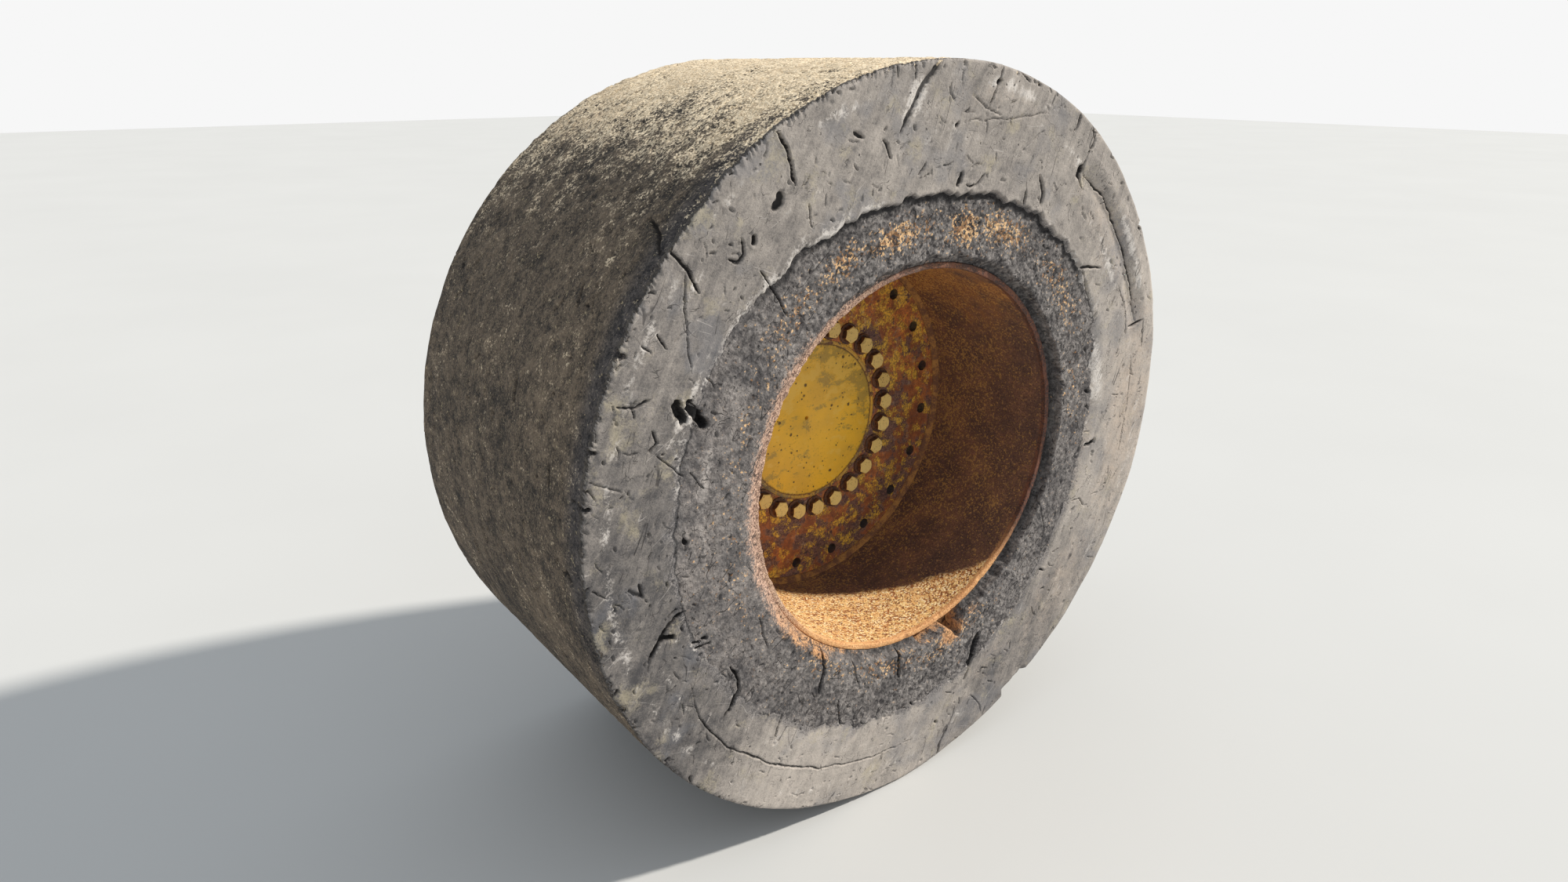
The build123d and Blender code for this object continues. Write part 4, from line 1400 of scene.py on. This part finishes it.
def weld_bead():
    """The fillet weld between band and disc: a rippled bead, uneven in width."""
    turns = 2080
    angles = angles_of(turns)
    wall, face = BAND_RADIUS - BAND_WALL, DISC_FACE - OUTER_FACE
    along = lifted(on_flat(angles, wall))
    leg = WELD_LEG + 2.0 + 1.4 * lumps(along, 60.0) + 0.7 * lumps(along, 17.0, 5.0)
    ripple = 0.55 * np.abs(np.sin(np.arange(turns) * math.pi / 4.0 + lumps(along, 40.0, 7.0)))
    swing = np.linspace(0.0, math.pi / 2, 7)[None]
    bulge = (leg * 0.62 + ripple)[:, None] * np.sin(2 * swing) ** 0.8 * 0.45
    toe = leg[:, None]
    radius = wall - toe * (1 - np.cos(swing)) - bulge * 0.7
    station = face - toe * (1 - np.sin(swing)) - bulge * 0.7
    one = np.ones((turns, 1))
    radius = np.hstack([(wall + 2.0) * one, (wall + 2.0) * one, radius])
    station = np.hstack([(face + 3.0) * one, (face - 12.0) * one, station])
    piece = ring_mesh("weld_bead", angles, radius[:, ::-1], station[:, ::-1])
    finish = plain_rust("weld_rust", (168, 118, 54), (104, 66, 40))
    return finished(piece, "wheel", "rusty_disc", finish)


# ---- Bolts, by Geometry Nodes ----
class Rule(Tree):
    """A Geometry Nodes tree with named sizes."""

    def __init__(self, name, **sizes):
        super().__init__(bpy.data.node_groups.new(name, "GeometryNodeTree"))
        self.sockets = {}
        self.add_socket("Geometry", "INPUT", "NodeSocketGeometry")
        for label, value in sizes.items():
            kind = {int: "NodeSocketInt", float: "NodeSocketFloat"}.get(
                type(value), "NodeSocketMaterial")
            self.sockets[label] = (self.add_socket(label, "INPUT", kind), value)
        self.add_socket("Geometry", "OUTPUT", "NodeSocketGeometry")

    def add_socket(self, label, way, kind):
        """Add a socket to the tree's own, and give back its identifier."""
        return self.tree.interface.new_socket(label, in_out=way, socket_type=kind).identifier

    def given(self, label):
        """One of the tree's own inputs."""
        return self.node("NodeGroupInput", output=label)

    def ends(self, geometry):
        """Lead a geometry to the tree's output."""
        self.node("NodeGroupOutput", None, {0: geometry})

    def put_on(self, piece):
        """Add the tree to a piece as a modifier, with its sizes."""
        modifier = piece.modifiers.new(self.tree.name, "NODES")
        modifier.node_group = self.tree
        for identifier, value in self.sockets.values():
            modifier[identifier] = value
        return piece


def hex_head(name, flats, height, washer, thickness, towards):
    """A closed hex head on its washer about the Y axis, its crown chamfered at the corners."""
    columns = 36
    turn = np.arange(columns) * 2 * math.pi / columns
    side = flats / 2 / np.cos((turn + math.pi / 6) % (math.pi / 3) - math.pi / 6)
    crown = flats * 0.47
    drop = (side - crown) * math.tan(math.radians(27))
    rows = ((washer, 0.0, 0), (washer, thickness * 0.8, 0), (washer - 0.9, thickness, 0),
            (side + 0.5, thickness, 0), (side - 0.2, thickness + 0.3, 1),
            (side, thickness + 1.2, 1), (side, height - drop - 1.2, 1),
            (side - 0.4, height - drop - 0.3, 2), (crown + 0 * side, height, 2),
            (crown * 0.72, height - 0.5, 2))
    radius = np.array([row[0] + 0 * turn for row in rows]).T
    level = np.array([row[1] + 0 * turn for row in rows]).T
    points = np.stack([radius * np.cos(turn)[:, None], towards * level,
                       radius * np.sin(turn)[:, None]], -1).reshape(-1, 3) * MM
    index = np.arange(radius.size).reshape(radius.shape)
    beside = np.roll(index, -1, axis=0)
    faces = np.stack([index[:, :-1], beside[:, :-1], beside[:, 1:], index[:, 1:]], -1)
    faces = faces.reshape(-1, 4).tolist() + [index[:, -1].tolist(), index[::-1, 0].tolist()]
    mesh = bpy.data.meshes.new(name)
    mesh.from_pydata(points.tolist(), [], [f if towards < 0 else f[::-1] for f in faces])
    piece = in_scene(name, mesh)
    keep_values(piece, part=np.tile([row[2] / 2 for row in rows], columns))
    return piece


def bolt_circle(head, count, circle, start, station, loose, seed, material):
    """Copies of one head round a circle, each turned and toned a little differently."""
    rule = Rule(head.name + "_circle", Count=count, Circle=circle * MM,
                Start=math.radians(start), Station=station * MM, Loose=math.radians(loose),
                Seed=seed, Finish=material)
    ring = rule.node("GeometryNodeMeshCircle", None,
                     {"Vertices": rule.given("Count"), "Radius": rule.given("Circle")})
    ring = rule.node("GeometryNodeTransform", None,
                     {"Geometry": ring, "Rotation": (math.pi / 2, 0.0, 0.0)})
    spin = rule.node("ShaderNodeCombineXYZ", None, {"Y": 0.0 - rule.given("Start")})
    shift = rule.node("ShaderNodeCombineXYZ", None, {"Y": rule.given("Station")})
    ring = rule.node("GeometryNodeTransform", None,
                     {"Geometry": ring, "Rotation": spin, "Translation": shift})
    turn = rule.node("FunctionNodeRandomValue", {"data_type": "FLOAT"}, {
        2: 0.0 - rule.given("Loose"), 3: rule.given("Loose"), 8: rule.given("Seed")}, output=1)
    heads = rule.node("GeometryNodeInstanceOnPoints", None, {
        "Points": ring, "Instance": rule.given("Geometry"),
        "Rotation": rule.node("ShaderNodeCombineXYZ", None, {"Y": turn})})
    tone = rule.node("FunctionNodeRandomValue", {"data_type": "FLOAT"},
                     {8: rule.given("Seed") + 1.0}, output=1)
    heads = rule.node("GeometryNodeStoreNamedAttribute",
                      {"data_type": "FLOAT", "domain": "INSTANCE"},
                      {"Geometry": heads, "Name": "tone", "Value": tone})
    heads = rule.node("GeometryNodeRealizeInstances", None, {"Geometry": heads})
    rule.ends(rule.node("GeometryNodeSetMaterial", None,
                        {"Geometry": heads, "Material": rule.given("Finish")}))
    return made_plain(rule.put_on(head))


def wheel_bolt_heads():
    """The bolts that hold the disc to the hub."""
    head = hex_head("wheel_bolt_heads", WHEEL_BOLT_FLATS, BOLT_STANDS, WASHER_RADIUS,
                    WASHER_THICKNESS, -1)
    finish = bolt_paint()
    bolt_circle(head, WHEEL_BOLTS, WHEEL_BOLT_CIRCLE, WHEEL_BOLT_START, DISC_FACE,
                loose=24.0, seed=4, material=finish)
    return finished(head, "wheel", "bolt_paint", finish, "wheel_bolts")


def hub_bolt_heads():
    """The bolts that hold the hub's two halves together, seen from inboard."""
    head = hex_head("hub_bolt_heads", HUB_BOLT_FLATS, HUB_BOLT_HEIGHT, HUB_WASHER_RADIUS,
                    HUB_WASHER_THICKNESS, 1)
    finish = case_bolt_steel()
    bolt_circle(head, HUB_BOLTS, HUB_BOLT_CIRCLE, HUB_BOLT_START, HUB_BOLT_SEAT,
                loose=25.0, seed=9, material=finish)
    return finished(head, "wheel", "case_bolt_steel", finish, "hub_bolts")


def radial_plug(name, flats, height, angle, station):
    """A hex plug that stands out of the brake housing's side, in the case bolts' dark steel."""
    plug = hex_head(name, flats, height, flats * 0.66, height * 0.3, -1)
    turn = math.radians(angle)
    foot = (SPINDLE_FLANGE_RADIUS - 0.6) * MM
    outward = Matrix.Rotation(math.pi / 2 - turn, 4, "Y") @ Matrix.Rotation(-math.pi / 2, 4, "X")
    plug.data.transform(Matrix.Translation((foot * math.cos(turn), station * MM,
                                            foot * math.sin(turn))) @ outward)
    keep_values(plug, tone=np.full(len(plug.data.vertices), 0.3))
    return finished(plug, "axle", "case_bolt_steel", bpy.data.materials["case_bolt_steel"])


def shaft_seal():
    """The dust seal round the half shaft: a steel case with a rubber lip turned outwards."""
    turns = 128
    angles = angles_of(turns)
    section = ((59.6, -22.0), (59.6, -9.0), (58.4, -7.8), (52.0, -7.8), (50.8, -9.0),
               (50.0, -12.5), (40.0, -12.5), (36.5, -10.0), (33.0, -5.6), (31.4, -5.2),
               (30.6, -6.4), (31.8, -9.0), (33.4, -14.0), (34.6, -22.0))
    radius, station = np.array(section).T
    one = np.ones((turns, 1))
    piece = ring_mesh("shaft_seal", angles, radius * one, (station - OUTER_FACE) * one)
    keep_values(piece, lip=np.tile(rise(radius, 50.5, 47.0), turns))
    return finished(piece, "axle", "spindle_steel", seal_rubber())


# ---- CAD nodes that keep their shape ----
def rounds_smooth():
    """A tree that shades a mesh smooth except at edges of more than its sharp angle."""
    rule = Rule("rounds_smooth", Sharp=math.radians(32))
    mesh = rule.node("GeometryNodeSetShadeSmooth", {"domain": "FACE"},
                     {"Geometry": rule.given("Geometry"), "Shade Smooth": True})
    angle = rule.node("GeometryNodeInputMeshEdgeAngle")
    sharp = rule.node("FunctionNodeCompare", {"data_type": "FLOAT", "operation": "GREATER_THAN"},
                      {0: angle, 1: rule.given("Sharp")})
    rule.ends(rule.node("GeometryNodeSetShadeSmooth", {"domain": "EDGE"},
                        {"Geometry": mesh, "Selection": sharp, "Shade Smooth": False}))
    return rule


ROUNDS_SMOOTH = rounds_smooth()


def eased(node, width, material):
    """Soften a CAD node's edges, shade its rounds smooth, and give it its material."""
    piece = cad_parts[node]
    weld = piece.modifiers.new("weld", "WELD")
    weld.merge_threshold = 0.01 * MM
    bevel = piece.modifiers.new("bevel", "BEVEL")
    bevel.width = width * MM
    bevel.segments = 2
    bevel.limit_method = "ANGLE"
    bevel.angle_limit = math.radians(40)
    bevel.use_clamp_overlap = True
    ROUNDS_SMOOTH.put_on(piece)
    if not piece.material_slots:
        piece.data.materials.append(material)
    piece.material_slots[0].material = material
    return piece


# ---- The room ----
FLOOR_HALF = 30.0
FLOOR_DARK = (0.56, 0.56, 0.55, 1.0)
FLOOR_PALE = (0.60, 0.60, 0.59, 1.0)
SUN_STRENGTH = 4.1
SUN_COLOUR = (1.0, 0.95, 0.87)
SUN_SPREAD = math.radians(3)
TOWARDS_SUN = (0.69, -0.37, 0.62)
FILL_STRENGTH = 0.65
FILL_COLOUR = (0.88, 0.94, 1.0, 1.0)
BACKDROP = (0.93, 0.93, 0.93, 1.0)
CAMERA_LENS = 23.02
CAMERA_SHIFT = (0.0256, 0.0143)
# The camera's place in metres, from the middle of the outer plane, and its right and up
CAMERA_PLACE = (-1.4468, -1.3566, 0.7865)
CAMERA_RIGHT = (0.81127, -0.58467, 0.0)
CAMERA_UP = (0.21609, 0.29985, 0.92919)


def floor_and_light():
    """A plain pale floor, a soft key from above outboard, and an even fill."""
    mesh = bpy.data.meshes.new("floor")
    mesh.from_pydata([(FLOOR_HALF * x, FLOOR_HALF * y, -TYRE_RADIUS * MM)
                      for x, y in ((-1, -1), (1, -1), (1, 1), (-1, 1))], [], [(0, 1, 2, 3)])
    floor = in_scene("floor", mesh)
    f = Finish("pale_floor")
    shade = f.node("ShaderNodeMix", {"data_type": "RGBA"},
                   {0: f.noise(1.2, 3), 6: FLOOR_DARK, 7: FLOOR_PALE}, output=2)
    mesh.materials.append(f.done(shade, 0.9))
    world = bpy.data.worlds.new("studio")
    bpy.context.scene.world = world
    world.use_nodes = True
    world.node_tree.nodes.clear()
    sky = Tree(world.node_tree)
    fill = sky.node("ShaderNodeBackground", None,
                    {"Color": FILL_COLOUR, "Strength": FILL_STRENGTH})
    shown = sky.node("ShaderNodeBackground", None, {"Color": BACKDROP})
    by_camera = sky.node("ShaderNodeLightPath", output="Is Camera Ray")
    sky.node("ShaderNodeOutputWorld", None, {"Surface": sky.node(
        "ShaderNodeMixShader", None, {0: by_camera, 1: fill, 2: shown})})
    key = bpy.data.lights.new("key", "SUN")
    key.energy = SUN_STRENGTH
    key.angle = SUN_SPREAD
    key.color = SUN_COLOUR
    lamp = in_scene("key", key)
    lamp.rotation_mode = "QUATERNION"
    lamp.rotation_quaternion = Vector(TOWARDS_SUN).to_track_quat("Z", "Y")


def photo_camera():
    """A camera that stands and looks as the photograph's did."""
    data = bpy.data.cameras.new("camera")
    data.sensor_width = 36.0
    data.lens = CAMERA_LENS
    data.shift_x, data.shift_y = CAMERA_SHIFT
    data.clip_start = 0.05
    camera = in_scene("camera", data)
    right, up = Vector(CAMERA_RIGHT), Vector(CAMERA_UP)
    axes = Matrix((right, up, right.cross(up))).transposed().to_4x4()
    place = Vector(CAMERA_PLACE) + Vector((0.0, OUTER_FACE * MM, 0.0))
    camera.matrix_world = Matrix.Translation(place) @ axes
    bpy.context.scene.camera = camera


tyre_face()
tyre_worn_band()
tyre_carcass()
rim_ring()
weld_bead()
wheel_bolt_heads()
hub_bolt_heads()
for plug_name, plug_sizes in PLUGS.items():
    radial_plug(plug_name, *plug_sizes)
shaft_seal()
eased("wheel_disc", 0.8, rusted_disc())
eased("hub_cover", 1.6, cover_paint())
HUB_PAINT = chipped_casting("hub_casting", (214, 160, 52), (186, 148, 74), bare=0.53)
eased("planet_housing", 1.6, HUB_PAINT)
eased("bearing_hub", 2.5, HUB_PAINT)
eased("spindle", 1.5, plain_rust("spindle_steel", (120, 106, 94), (84, 72, 62),
                                 roughness=0.5, metallic=0.5))
eased("brake_housing", 2.5, chipped_casting("axle_casting", (214, 162, 54), (188, 150, 76),
                                            bare=0.55, settled=0.7))
eased("half_shaft", 0.6, plain_rust("shaft_steel", (150, 146, 140), (112, 104, 96),
                                    roughness=0.38, metallic=0.9))
floor_and_light()
photo_camera()
bpy.context.scene.view_settings.view_transform = "Standard"
